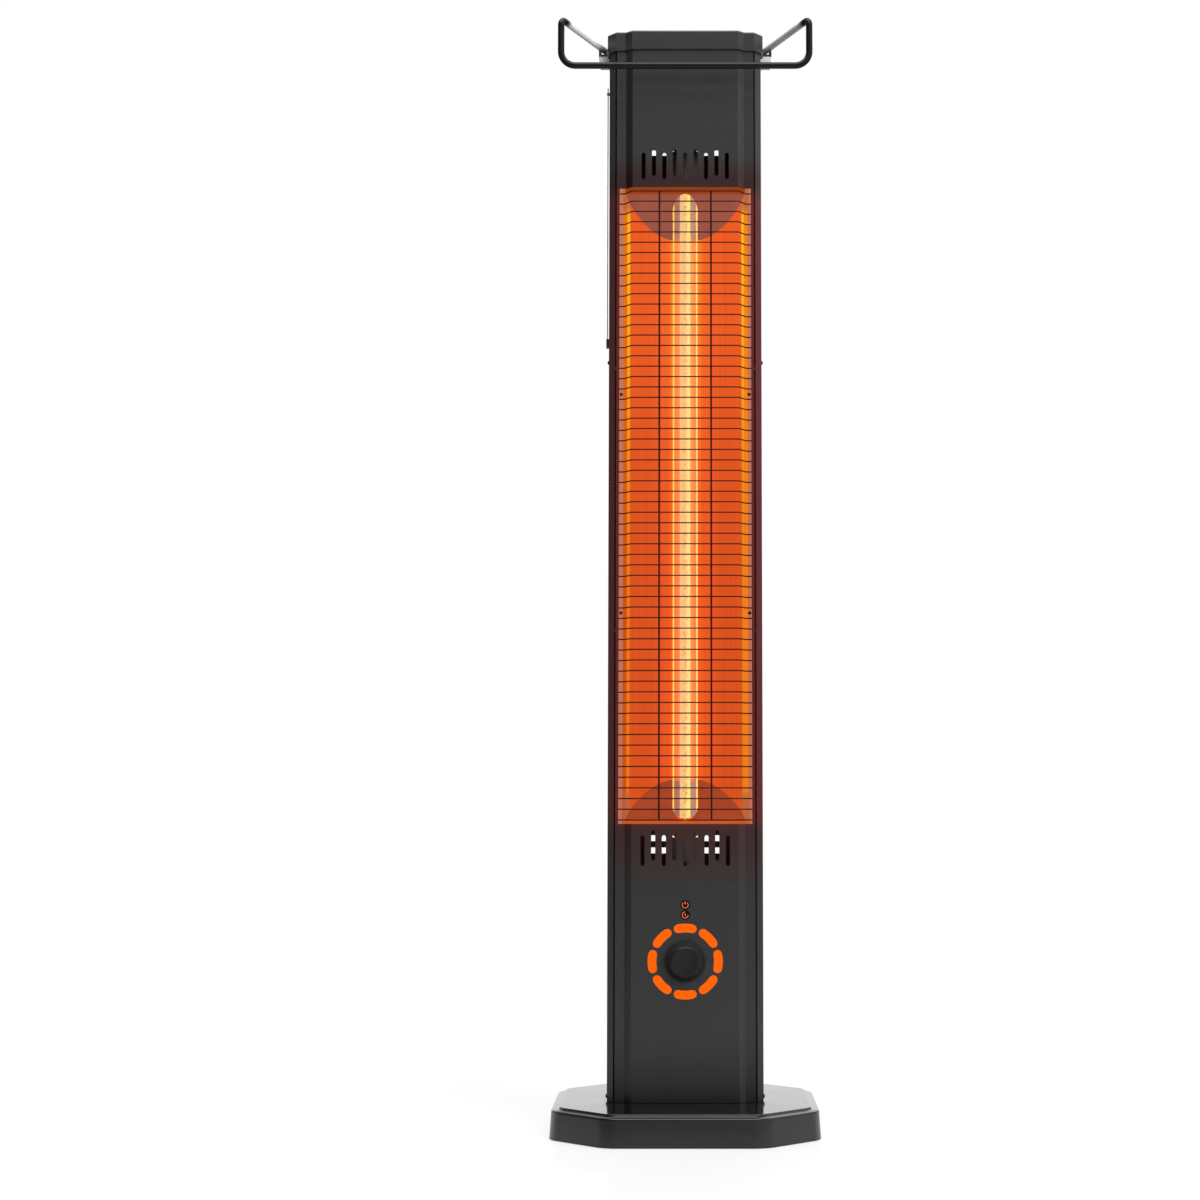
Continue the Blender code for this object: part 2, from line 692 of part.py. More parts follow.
def make_rear_housing():
    """Folded channel: slanted front rims, two sides and the back wall."""
    corner = HOUSING_REAR_CORNER
    centre = (SIDE_HALF - corner, at_depth(COLUMN_DEPTH - corner))
    outer = [(HOUSING_RIM_HALF, at_depth(HOUSING_RIM_DEPTH)), (SIDE_HALF, at_depth(HOUSING_SIDE_DEPTH))]
    outer += arc(centre, corner, 0.0, math.pi / 2, 3)
    outer += [(-x, y) for x, y in reversed(outer)]
    inner = side_shift(outer, HOUSING_SHEET, closed=False)
    housing = make_object("rear_housing", prism(outer + list(reversed(inner)), COLUMN_BOTTOM, COLUMN_TOP),
                          "black_coat")
    cuts = bmesh.new()
    back = (at_depth(COLUMN_DEPTH - 4 * HOUSING_SHEET), at_depth(COLUMN_DEPTH + HOUSING_SHEET))
    for start in (WINDOW_BOTTOM - REAR_ROW_DROP, WINDOW_TOP + REAR_ROW_RISE):
        for i in range(REAR_ROW_COUNT):
            for x in (-REAR_ROW_MIDDLE, REAR_ROW_MIDDLE):
                add_slot(cuts, (x, start + i * REAR_ROW_PITCH), REAR_ROW_LENGTH, REAR_ROW_WIDTH, back)
    add_prism(cuts, circle((0.0, GLAND_HEIGHT), GLAND_RADIUS + FIT, 24), *back, along="Y")
    combine(housing, make_cutter("rear_housing_vents", cuts))
    holes = bmesh.new()
    for sign in (-1, 1):
        for height in screw_heights():
            add_side_hole(holes, sign, (SCREW_DEPTH, height), SCREW_RADIUS + FIT)
        add_side_hole(holes, sign, (HOOK_DEPTH, hook_screw_height()), SCREW_RADIUS + FIT)
    combine(housing, make_cutter("rear_housing_side_holes", holes))


def add_slot(bm, centre, width, height, depths):
    """Add a round-ended slot cutter that runs front to back."""
    x, z = centre
    radius = min(width, height) / 2
    if height >= width:
        reach = height / 2 - radius
        outline = arc((x, z + reach), radius, 0, math.pi, SLOT_END_STEPS)
        outline += arc((x, z - reach), radius, math.pi, math.tau, SLOT_END_STEPS)
    else:
        reach = width / 2 - radius
        outline = arc((x - reach, z), radius, math.pi / 2, 3 * math.pi / 2, SLOT_END_STEPS)
        outline += arc((x + reach, z), radius, -math.pi / 2, math.pi / 2, SLOT_END_STEPS)
    add_prism(bm, outline, *depths, along="Y")


def add_side_hole(bm, sign, place, radius):
    """Add a round cutter through a side wall of the column and its inner tongues."""
    depth, height = place
    near = sign * (SIDE_HALF + HOUSING_SHEET)
    far = sign * (bracket_side_half() - 2 * BRACKET_SHEET)
    outline = circle((at_depth(depth), height), radius, 12)
    add_prism(bm, outline, min(near, far), max(near, far), along="X")


def screw_heights():
    """Heights of the side screws: at the foot and beside the window."""
    return (COLUMN_BOTTOM + SCREW_FOOT_RISE, COLUMN_BOTTOM + SCREW_UPPER_RISE)


def panel_path():
    """Middle line of the front panel seen from above, from +X tongue to -X tongue."""
    half_sheet = PANEL_SHEET / 2
    tongue = SIDE_INNER - FIT - half_sheet
    edge = PANEL_EDGE_HALF - half_sheet
    step = PANEL_STEP_DEPTH + half_sheet
    back = PANEL_RETURN_DEPTH - half_sheet
    half = [
        (tongue, PANEL_TONGUE_DEPTH),
        (tongue, back),
        (edge, back),
        (edge, step),
        (PANEL_STEP_HALF - half_sheet / 2, step),
        (PANEL_FACE_HALF - half_sheet / 2, half_sheet),
    ]
    half = [(x, at_depth(depth)) for x, depth in half]
    return half + [(-x, y) for x, y in reversed(half)]


def make_front_panel():
    """Folded front sheet with the window, the vents and the control openings."""
    panel = make_object("front_panel",
                        prism(sheet_outline(panel_path(), PANEL_SHEET), COLUMN_BOTTOM, COLUMN_TOP),
                        "black_coat")
    through = (at_depth(-PANEL_SHEET), at_depth(PANEL_STEP_DEPTH))
    window = box((-WINDOW_HALF, at_depth(-PANEL_SHEET), WINDOW_BOTTOM),
                 (WINDOW_HALF, at_depth(PANEL_RETURN_DEPTH), WINDOW_TOP))
    combine(panel, make_cutter("front_panel_window", window))
    cuts = bmesh.new()
    for i in range(VENT_COUNT):
        x = (i - (VENT_COUNT - 1) / 2) * VENT_PITCH
        upper = WINDOW_TOP + TOP_VENT_RISE + (TOP_VENT_STAGGER if i % 2 else 0.0)
        lower = WINDOW_BOTTOM - LOW_VENT_DROP + (LOW_VENT_STAGGER if i % 2 else 0.0)
        add_slot(cuts, (x, upper), VENT_WIDTH, TOP_VENT_LENGTH, through)
        add_slot(cuts, (x, lower), VENT_WIDTH, LOW_VENT_LENGTH, through)
    for outline in ring_segments(FIT):
        add_prism(cuts, outline, *through, along="Y")
    add_prism(cuts, circle((0.0, KNOB_HEIGHT), NECK_BUSH_RADIUS + FIT, 24), *through, along="Y")
    for height in icon_heights():
        add_prism(cuts, circle((0.0, height), ICON_RADIUS + FIT, 16), *through, along="Y")
    combine(panel, make_cutter("front_panel_openings", cuts))
    holes = bmesh.new()
    for sign in (-1, 1):
        for height in screw_heights():
            add_side_hole(holes, sign, (SCREW_DEPTH, height), SCREW_RADIUS + FIT)
    combine(panel, make_cutter("front_panel_side_holes", holes))


def icon_heights():
    """Heights of the two lit signs above the light ring."""
    middle = KNOB_HEIGHT + ICON_RISE
    return (middle + ICON_PITCH / 2, middle - ICON_PITCH / 2)


def ring_segments(grow):
    """Outlines of the light ring's eight bars, each a bent band with round ends."""
    outlines = []
    half_band = RING_BAND_HALF + grow
    swing = RING_SEGMENT_ANGLE / 2 - RING_BAND_HALF / RING_RADIUS
    for i in range(RING_SEGMENTS):
        middle = math.tau * i / RING_SEGMENTS
        first, last = middle - swing, middle + swing
        ends = []
        for angle, turn in ((last, 0.0), (first, math.pi)):
            centre = (RING_RADIUS * math.cos(angle), KNOB_HEIGHT + RING_RADIUS * math.sin(angle))
            start = angle + turn
            ends.append(arc(centre, half_band, start, start + math.pi, 4)[1:-1])
        middle_point = (0.0, KNOB_HEIGHT)
        outer = arc(middle_point, RING_RADIUS + half_band, first, last, 4)
        inner = arc(middle_point, RING_RADIUS - half_band, last, first, 4)
        outlines.append(outer + ends[0] + inner + ends[1])
    return outlines


def make_top_cap():
    """Cap over the column: a skirt that follows the stepped front, and a flat top."""
    cap = bmesh.new()
    levels = [(CAP_BOTTOM, 0.0), (CAP_TOP - CAP_EDGE, 0.0), (CAP_TOP, CAP_EDGE)]
    rings = []
    for height, inset in levels:
        outline = column_outline(FIT + CAP_WALL - inset)
        rings.append([cap.verts.new((x, y, height)) for x, y in outline])
    count = len(rings[0])
    for low, high in zip(rings, rings[1:]):
        for k in range(count):
            cap.faces.new((low[k], low[(k + 1) % count], high[(k + 1) % count], high[k]))
    cap.faces.new(list(reversed(rings[0])))
    cap.faces.new(rings[-1])
    shell = make_object("top_cap", cap, "black_coat")
    hollow = prism(column_outline(FIT), CAP_BOTTOM - CAP_HEIGHT, CAP_TOP - CAP_TOP_SHEET)
    combine(shell, make_cutter("top_cap_hollow", hollow))


# Radiant parts


def guard_wire_path(height):
    """Path of one guard wire, from its left end to its right end."""
    end = PANEL_EDGE_HALF - PANEL_SHEET - FIT
    front = GUARD_WIRE_RADIUS
    shoulder = PANEL_EDGE_HALF - GUARD_SHOULDER_INSET
    bend = PANEL_EDGE_HALF - GUARD_BEND_INSET
    half = [(end, GUARD_SHOULDER_DEPTH), (shoulder, GUARD_SHOULDER_DEPTH), (bend, front)]
    left = [(-x, at_depth(depth), height) for x, depth in half]
    return left + [(x, at_depth(depth), height) for x, depth in reversed(half)]


def make_guard():
    """Wire guard: many level wires welded to two upright bars behind them."""
    low = WINDOW_BOTTOM + GUARD_MARGIN
    high = WINDOW_TOP - GUARD_MARGIN
    wires = bmesh.new()
    for i in range(GUARD_WIRES):
        height = low + (high - low) * i / (GUARD_WIRES - 1)
        add_rod(wires, guard_wire_path(height), GUARD_WIRE_RADIUS, 4)
    bars = bmesh.new()
    weld = GUARD_WIRE_RADIUS / 2
    depth = 2 * GUARD_WIRE_RADIUS + GUARD_BAR_RADIUS * math.cos(math.pi / 4) - weld
    for sign in (-1, 1):
        x = sign * GUARD_BAR_HALF
        ends = [
            (x, at_depth(depth), low - GUARD_WIRE_RADIUS),
            (x, at_depth(depth), high + GUARD_WIRE_RADIUS),
        ]
        add_rod(bars, ends, GUARD_BAR_RADIUS, 4, roll=math.pi / 4)
    guard = make_object("wire_guard", bars, "guard_wire")
    combine(guard, make_cutter("wire_guard_wires", wires), "UNION")


def make_reflector():
    """Polished trough with a curved bowl, steep side walls and folded fixing tabs."""
    half_sheet = REFLECTOR_SHEET / 2
    front = at_depth(REFLECTOR_FRONT + half_sheet)
    tab = PANEL_EDGE_HALF - PANEL_SHEET - FIT - half_sheet
    right = [(tab, at_depth(REFLECTOR_FRONT + REFLECTOR_TAB)), (tab, front), (REFLECTOR_MOUTH_HALF, front)]
    path = right + bowl_path() + [(-x, y) for x, y in reversed(right)]
    outline = sheet_outline(path, REFLECTOR_SHEET)
    make_object("reflector",
                prism(outline, WINDOW_BOTTOM - REFLECTOR_OVERRUN, WINDOW_TOP + REFLECTOR_OVERRUN),
                "polished_reflector")


def bowl_space(clearance):
    """Closed outline of the space inside the reflector, with a clearance all round."""
    mouth = (REFLECTOR_MOUTH_HALF, at_depth(REFLECTOR_FRONT))
    path = [mouth] + bowl_path() + [(-mouth[0], mouth[1])]
    return side_shift(path, REFLECTOR_SHEET / 2 + clearance, closed=False)


def make_end_plates():
    """Slanting plates with a front lip that close the reflector at both ends."""
    space = bowl_space(FIT)
    for place, base, sign in (("lower", WINDOW_BOTTOM, 1), ("upper", WINDOW_TOP, -1)):
        apex = base + sign * END_PLATE_APEX

        def plate_height(depth, apex=apex, sign=sign):
            return apex - sign * END_PLATE_SLOPE * (REFLECTOR_DEPTH - depth)

        thick = END_PLATE_SHEET * math.sqrt(1 + END_PLATE_SLOPE ** 2)
        front, back = REFLECTOR_FRONT, REFLECTOR_DEPTH + REFLECTOR_SHEET
        lip = front + FIT + END_PLATE_SHEET
        lip_end = base - sign * REFLECTOR_OVERRUN
        slab = [
            (at_depth(front), plate_height(front)),
            (at_depth(back), plate_height(back)),
            (at_depth(back), plate_height(back) - sign * thick),
            (at_depth(lip), plate_height(lip) - sign * thick),
            (at_depth(lip), lip_end),
            (at_depth(front), lip_end),
        ]
        half = REFLECTOR_MOUTH_HALF
        plate = make_object("reflector_end_" + place, prism(slab, -half, half, along="X"), "bare_steel")
        span = sorted((lip_end - sign * thick, plate_height(back) + sign * 3 * thick))
        combine(plate, make_cutter("bowl_space_" + place, prism(space, *span)), "INTERSECT")
        hole = circle((0.0, at_depth(TUBE_DEPTH)), TUBE_RADIUS + FIT, 36)
        combine(plate, make_cutter("tube_hole_" + place, prism(hole, *span)))


def make_quartz_tube():
    """Clear straight tube, open at both ends."""
    low, high = TUBE_END_LOW, mirror_height(TUBE_END_LOW, -1)
    inner = TUBE_RADIUS - TUBE_WALL
    ring = [(TUBE_RADIUS, low), (TUBE_RADIUS, high), (inner, high), (inner, low)]
    bm = turned(ring + ring[:1], 2 * ROUND_STEPS, centre=(0.0, at_depth(TUBE_DEPTH), 0.0))
    make_object("quartz_tube", bm, "quartz", (0.0, at_depth(TUBE_DEPTH), WINDOW_MIDDLE), round_piece=True)


def make_element():
    """Wound carbon element that runs between the sockets of the two holders."""
    low = SOCKET_FLOOR_LOW + FIT
    high = mirror_height(low, -1)
    bm = turned([(0.0, low), (ELEMENT_RADIUS, low), (ELEMENT_RADIUS, high), (0.0, high)], ROUND_STEPS,
                centre=(0.0, at_depth(TUBE_DEPTH), 0.0))
    make_object("carbon_element", bm, "carbon_filament", (0.0, at_depth(TUBE_DEPTH), WINDOW_MIDDLE),
                round_piece=True)


def mirror_height(height, sign):
    """A height at the lower end of the tube, or its match at the upper end."""
    return height if sign > 0 else 2 * WINDOW_MIDDLE - height


def make_tube_holders():
    """Ceramic cups on the tube's ends and the shelves that carry them."""
    bore = LEAD_RADIUS + FIT
    inner = TUBE_RADIUS - TUBE_WALL - FIT
    socket = ELEMENT_RADIUS + FIT
    lower_ring = [
        (bore, HOLDER_NECK_LOW),
        (HOLDER_NECK_RADIUS, HOLDER_NECK_LOW),
        (HOLDER_NECK_RADIUS, HOLDER_FLANGE_LOW),
        (HOLDER_FLANGE_RADIUS, HOLDER_FLANGE_LOW),
        (HOLDER_FLANGE_RADIUS, HOLDER_FLANGE_LOW + HOLDER_FLANGE),
        (HOLDER_RADIUS, HOLDER_FLANGE_LOW + HOLDER_FLANGE),
        (HOLDER_RADIUS, HOLDER_RIM_LOW),
        (TUBE_RADIUS + FIT, HOLDER_RIM_LOW),
        (TUBE_RADIUS + FIT, HOLDER_SEAT_LOW),
        (inner, HOLDER_SEAT_LOW),
        (inner, HOLDER_RIM_LOW),
        (socket, HOLDER_RIM_LOW),
        (socket, SOCKET_FLOOR_LOW),
        (bore, SOCKET_FLOOR_LOW),
    ]
    for place, sign in (("lower", 1), ("upper", -1)):
        ring = [(radius, mirror_height(height, sign)) for radius, height in lower_ring]
        bm = turned(ring + ring[:1], ROUND_STEPS, centre=(0.0, at_depth(TUBE_DEPTH), 0.0))
        make_object("tube_holder_" + place, bm, "ceramic", round_piece=True)
        shelf_top = mirror_height(HOLDER_FLANGE_LOW - FIT, sign)
        shelf_low = mirror_height(HOLDER_FLANGE_LOW - FIT - SHELF_SHEET, sign)
        make_shelf(place, sign, shelf_top, shelf_low)


def make_shelf(place, sign, near, far):
    """Sheet shelf from the back wall to the tube, with a fixing flange."""
    flange = far - sign * SHELF_FLANGE
    back = REAR_INNER - FIT
    front = TUBE_DEPTH - HOLDER_FLANGE_RADIUS
    outline = [
        (at_depth(front), near),
        (at_depth(back), near),
        (at_depth(back), flange),
        (at_depth(back - SHELF_SHEET), flange),
        (at_depth(back - SHELF_SHEET), far),
        (at_depth(front), far),
    ]
    sheet = prism(outline, -SHELF_HALF, SHELF_HALF, along="X")
    shelf = make_object("tube_shelf_" + place, sheet, "bare_steel")
    span = sorted((near + sign * SHELF_SHEET, far - sign * SHELF_SHEET))
    holes = bmesh.new()
    neck = circle((0.0, at_depth(TUBE_DEPTH)), HOLDER_NECK_RADIUS + FIT, 24)
    add_prism(holes, neck, *span)
    lead = circle((0.0, at_depth(LEAD_DEPTH)), LEAD_RADIUS + FIT, 12)
    add_prism(holes, lead, *span)
    combine(shelf, make_cutter("tube_shelf_holes_" + place, holes))


def make_thermal_cutout():
    """Small disc cut-out on the back of the reflector."""
    back = REFLECTOR_DEPTH + REFLECTOR_SHEET / 2 + FIT
    height = WINDOW_TOP - CUTOUT_BELOW_WINDOW_TOP
    profile = [(0.0, 0.0), (CUTOUT_RADIUS, 0.0), (CUTOUT_RADIUS, CUTOUT_HEIGHT), (0.0, CUTOUT_HEIGHT)]
    bm = turned(profile, ROUND_STEPS, centre=(0.0, at_depth(back), height), toward=(0.0, 1.0, 0.0))
    make_object("thermal_cutout", bm, "bare_steel", round_piece=True)


def make_leads():
    """Insulated wires from both holders down to the terminal block."""
    tube = at_depth(TUBE_DEPTH)
    down = at_depth(LEAD_DEPTH)
    block = at_depth(REAR_INNER - FIT - TERMINAL_SIZE[1] / 2)
    end = TERMINAL_TOP + FIT
    loop = mirror_height(HOLDER_NECK_LOW, -1) + LEAD_LOOP
    upper = [
        (0.0, tube, mirror_height(SOCKET_FLOOR_LOW, -1)),
        (0.0, tube, loop),
        (0.0, down, loop),
        (0.0, down, end + LEAD_SWING),
        (LEAD_SPREAD, block, end + LEAD_RISE),
        (LEAD_SPREAD, block, end),
    ]
    lower = [
        (0.0, tube, SOCKET_FLOOR_LOW),
        (0.0, tube, HOLDER_NECK_LOW - LEAD_LOOP),
        (-LEAD_SPREAD, block, end + LEAD_RISE),
        (-LEAD_SPREAD, block, end),
    ]
    for name, corners in (("lead_upper", upper), ("lead_lower", lower)):
        radii = [LEAD_BEND] * (len(corners) - 2)
        bm = bmesh.new()
        add_rod(bm, rounded_path(corners, radii, LEAD_STEPS), LEAD_RADIUS, LEAD_SIDES)
        make_object(name, bm, "wire_sleeve", round_piece=True)


# Controls


def make_knob():
    """Fluted turning knob with a raised face and a blind bore for its shaft."""
    back = KNOB_BACK
    flutes = []
    for i in range(2 * KNOB_FLUTES):
        angle = math.tau * i / (2 * KNOB_FLUTES)
        radius = KNOB_RADIUS - (KNOB_FLUTE_DEPTH if i % 2 else 0.0)
        flutes.append((radius * math.cos(angle), KNOB_HEIGHT + radius * math.sin(angle)))
    skirt = prism(flutes, at_depth(back - KNOB_SKIRT), at_depth(back), along="Y")
    knob = make_object("control_knob", skirt, "black_plastic", origin=(0.0, at_depth(back), KNOB_HEIGHT))
    crown = KNOB_LENGTH - KNOB_SKIRT
    lip = KNOB_FACE_RADIUS * 0.10
    profile = [
        (0.0, -KNOB_SKIRT / 2),
        (KNOB_FACE_RADIUS + lip, -KNOB_SKIRT / 2),
        (KNOB_FACE_RADIUS + lip, KNOB_SKIRT / 4),
        (KNOB_FACE_RADIUS, crown - lip),
        (KNOB_FACE_RADIUS - lip, crown),
        (0.0, crown),
    ]
    face = turned(profile, 2 * ROUND_STEPS, centre=(0.0, at_depth(back - KNOB_SKIRT), KNOB_HEIGHT),
                  toward=(0.0, -1.0, 0.0))
    combine(knob, make_cutter("control_knob_face", face), "UNION")
    bore = circle((0.0, KNOB_HEIGHT), SHAFT_RADIUS + FIT, 24)
    bore = prism(bore, at_depth(back - KNOB_BORE_DEPTH), at_depth(back + KNOB_GAP), along="Y")
    combine(knob, make_cutter("control_knob_bore", bore))


def slider_front():
    """Depth of the push slider's front face, just behind the shaft."""
    return ENCODER_BACK - ENCODER_WALL - FIT - PRESS_TRAVEL - SLIDER_SHEET


def make_shaft():
    """Shaft from inside the knob to the push slider."""
    front = KNOB_BACK - KNOB_BORE_DEPTH + FIT
    back = slider_front() - FIT
    outline = circle((0.0, KNOB_HEIGHT), SHAFT_RADIUS, 24)
    make_object("knob_shaft", prism(outline, at_depth(front), at_depth(back), along="Y"), "bare_steel",
                origin=(0.0, at_depth(KNOB_BACK), KNOB_HEIGHT))


def make_slider():
    """Round slider in the encoder, pushed by the shaft when the knob is pressed."""
    front = slider_front()
    outline = circle((0.0, KNOB_HEIGHT), SHAFT_RADIUS, 24)
    make_object("push_slider", prism(outline, at_depth(front), at_depth(front + SLIDER_SHEET), along="Y"),
                "black_plastic", origin=(0.0, at_depth(front), KNOB_HEIGHT))


def make_encoder():
    """Encoder body with a round bush through the panel and a blind bore."""
    half = ENCODER_WIDTH / 2
    body = make_object("encoder_body",
                       box((-half, at_depth(ENCODER_FRONT), KNOB_HEIGHT - half),
                           (half, at_depth(ENCODER_BACK), KNOB_HEIGHT + half)), "black_plastic")
    bush = circle((0.0, KNOB_HEIGHT), NECK_BUSH_RADIUS, 24)
    middle = (ENCODER_FRONT + ENCODER_BACK) / 2
    bush = prism(bush, at_depth(-BUSH_PROUD), at_depth(middle), along="Y")
    combine(body, make_cutter("encoder_bush", bush), "UNION")
    bore = circle((0.0, KNOB_HEIGHT), SHAFT_RADIUS + RUNNING_FIT, 24)
    combine(body, make_cutter("encoder_bore", prism(bore, at_depth(-2 * BUSH_PROUD),
                                                    at_depth(ENCODER_BACK - ENCODER_WALL), along="Y")))


def make_light_ring():
    """Light guide: a flat ring behind the panel with eight bars that fill its slots."""
    back_front = PANEL_SHEET + FIT
    outer = RING_RADIUS + RING_BAND_HALF + RING_BACK_MARGIN
    inner = RING_RADIUS - RING_BAND_HALF - RING_BACK_MARGIN
    profile = [(inner, 0.0), (outer, 0.0), (outer, RING_BACK_SHEET), (inner, RING_BACK_SHEET), (inner, 0.0)]
    bm = turned(profile, 2 * ROUND_STEPS, centre=(0.0, at_depth(back_front), KNOB_HEIGHT),
                toward=(0.0, 1.0, 0.0))
    ring = make_object("light_ring", bm, "amber_light")
    bars = bmesh.new()
    for outline in ring_segments(0.0):
        add_prism(bars, outline, at_depth(0.0), at_depth(back_front + RING_BACK_SHEET / 2), along="Y")
    combine(ring, make_cutter("light_ring_bars", bars), "UNION")


def make_icon_lens():
    """Light guide with two round studs for the lit signs."""
    front = PANEL_SHEET + FIT
    half = ICON_RADIUS + RING_BACK_MARGIN / 2
    top, low = icon_heights()
    lens = make_object("sign_lens",
                       box((-half, at_depth(front), low - half),
                           (half, at_depth(front + ICON_BACK_SHEET), top + half)), "black_plastic")
    studs = bmesh.new()
    for height in icon_heights():
        add_prism(studs, circle((0.0, height), ICON_RADIUS, 16),
                  at_depth(0.0), at_depth(front + ICON_BACK_SHEET / 2), along="Y")
    combine(lens, make_cutter("sign_lens_studs", studs), "UNION")


def make_control_board():
    """Circuit board behind the knob, with two clips to the panel's step."""
    low = KNOB_HEIGHT - BOARD_BELOW
    high = KNOB_HEIGHT + BOARD_ABOVE
    board = make_object("control_board",
                        box((-BOARD_HALF, at_depth(BOARD_DEPTH), low),
                            (BOARD_HALF, at_depth(BOARD_DEPTH + BOARD_SHEET), high)), "circuit_board")
    posts = bmesh.new()
    for x in (-BOARD_HALF + STANDOFF_MARGIN, BOARD_HALF - STANDOFF_MARGIN):
        for z in (low + STANDOFF_MARGIN, high - STANDOFF_MARGIN):
            add_prism(posts, circle((x, z), STANDOFF_RADIUS, 12),
                      at_depth(PANEL_SHEET + FIT), at_depth(BOARD_DEPTH + BOARD_SHEET / 2), along="Y")
    combine(board, make_cutter("control_board_posts", posts), "UNION")


# Power parts


def power_board_front():
    """Depth of the power board's front face."""
    return REAR_INNER - FIT - POWER_BOARD_STANDOFF - BOARD_SHEET


def make_power_board():
    """Power board on four posts in front of the back wall."""
    front = power_board_front()
    low, high = POWER_BOARD_BOTTOM, POWER_BOARD_BOTTOM + POWER_BOARD_HEIGHT
    board = make_object("power_board",
                        box((-POWER_BOARD_HALF, at_depth(front), low),
                            (POWER_BOARD_HALF, at_depth(front + BOARD_SHEET), high)), "circuit_board")
    posts = bmesh.new()
    for x in (-POWER_BOARD_HALF + STANDOFF_MARGIN, POWER_BOARD_HALF - STANDOFF_MARGIN):
        for z in (low + STANDOFF_MARGIN, high - STANDOFF_MARGIN):
            add_prism(posts, circle((x, z), STANDOFF_RADIUS, 12),
                      at_depth(front + BOARD_SHEET / 2), at_depth(REAR_INNER - FIT), along="Y")
    combine(board, make_cutter("power_board_posts", posts), "UNION")


def make_relay():
    """Relay on the power board's left half."""
    width, depth, height = RELAY_SIZE
    back = power_board_front() - FIT
    middle = -POWER_BOARD_HALF / 2
    low = POWER_BOARD_BOTTOM + (POWER_BOARD_HEIGHT - height) / 2
    make_object("power_relay",
                box((middle - width / 2, at_depth(back - depth), low),
                    (middle + width / 2, at_depth(back), low + height)), "black_plastic")


def make_heat_sink():
    """Finned heat sink on the power board's right half."""
    width, depth, height = SINK_SIZE
    back = power_board_front() - FIT
    middle = POWER_BOARD_HALF - width / 2 - STANDOFF_MARGIN / 2
    low = POWER_BOARD_BOTTOM + (POWER_BOARD_HEIGHT - height) / 2
    left = middle - width / 2
    web = back - SINK_BASE_SHEET
    pitch = (width - SINK_FIN_SHEET) / (SINK_FINS - 1)
    outline = [(left + width, at_depth(back)), (left, at_depth(back))]
    for i in range(SINK_FINS):
        x = left + i * pitch
        outline += [(x, at_depth(back - depth)), (x + SINK_FIN_SHEET, at_depth(back - depth))]
        if i < SINK_FINS - 1:
            outline += [(x + SINK_FIN_SHEET, at_depth(web)), (x + pitch, at_depth(web))]
    make_object("heat_sink", prism(outline, low, low + height), "bare_steel")


def make_terminal_block():
    """Terminal block on the back wall below the power board."""
    width, depth, height = TERMINAL_SIZE
    back = REAR_INNER - FIT
    make_object("terminal_block",
                box((-width / 2, at_depth(back - depth), TERMINAL_BOTTOM),
                    (width / 2, at_depth(back), TERMINAL_BOTTOM + height)), "black_plastic")


def make_cable_gland():
    """Cable gland through the back wall: a bored barrel with a collar outside."""
    back = COLUMN_DEPTH + FIT
    inside = REAR_INNER - GLAND_NUT_SHEET
    profile = [
        (GLAND_BORE, inside),
        (GLAND_RADIUS, inside),
        (GLAND_RADIUS, back),
        (GLAND_NUT_RADIUS, back),
        (GLAND_NUT_RADIUS, back + GLAND_NUT_SHEET),
        (GLAND_RADIUS, back + GLAND_NUT_SHEET),
        (GLAND_RADIUS * 0.8, back + GLAND_REACH),
        (GLAND_BORE, back + GLAND_REACH),
    ]
    bm = turned(profile + profile[:1], ROUND_STEPS, centre=(0.0, FRONT, GLAND_HEIGHT),
                toward=(0.0, 1.0, 0.0))
    make_object("cable_gland", bm, "black_plastic", round_piece=True)


# Fixings


def bracket_side_half():
    """Half width over the foot bracket's upright cheeks."""
    return SIDE_INNER - FIT - PANEL_SHEET - FIT


def make_foot_bracket():
    """Folded bracket in the column's foot: a drilled floor and two cheeks."""
    half = bracket_side_half()
    low = COLUMN_BOTTOM
    near = at_depth(SCREW_DEPTH - 2 * SCREW_HEAD_RADIUS)
    far = near + BRACKET_DEPTH + 2 * SCREW_HEAD_RADIUS
    rise = low + BRACKET_RISE
    sheet = BRACKET_SHEET
    outline = [(-half, rise), (-half, low), (half, low), (half, rise), (half - sheet, rise),
               (half - sheet, low + sheet), (-half + sheet, low + sheet), (-half + sheet, rise)]
    bracket = make_object("foot_bracket", prism(outline, near, far, along="Y"), "bare_steel")
    holes = bmesh.new()
    for x, y in bolt_places():
        add_prism(holes, circle((x, y), BOLT_RADIUS + FIT, 12), low - sheet, low + 2 * sheet)
    for sign in (-1, 1):
        add_side_hole(holes, sign, (SCREW_DEPTH, COLUMN_BOTTOM + SCREW_FOOT_RISE), SCREW_RADIUS + FIT)
    combine(bracket, make_cutter("foot_bracket_holes", holes))


def make_foot_bolts():
    """Four bolts from the foot bracket down into the ballast."""
    seat = COLUMN_BOTTOM + BRACKET_SHEET + FIT
    tip = FLOOR_PLATE_TOP + FIT + BALLAST_HEIGHT - BOLT_ENGAGE
    names = ("front_left", "rear_left", "front_right", "rear_right")
    for name, (x, y) in zip(names, bolt_places()):
        profile = [
            (0.0, tip),
            (BOLT_RADIUS, tip),
            (BOLT_RADIUS, seat),
            (BOLT_HEAD_RADIUS, seat),
            (BOLT_HEAD_RADIUS, seat + BOLT_HEAD_HEIGHT),
            (0.0, seat + BOLT_HEAD_HEIGHT),
        ]
        make_object("foot_bolt_" + name, turned(profile, SMALL_STEPS, centre=(x, y, 0.0)), "bare_steel",
                    origin=(x, y, seat), round_piece=True)


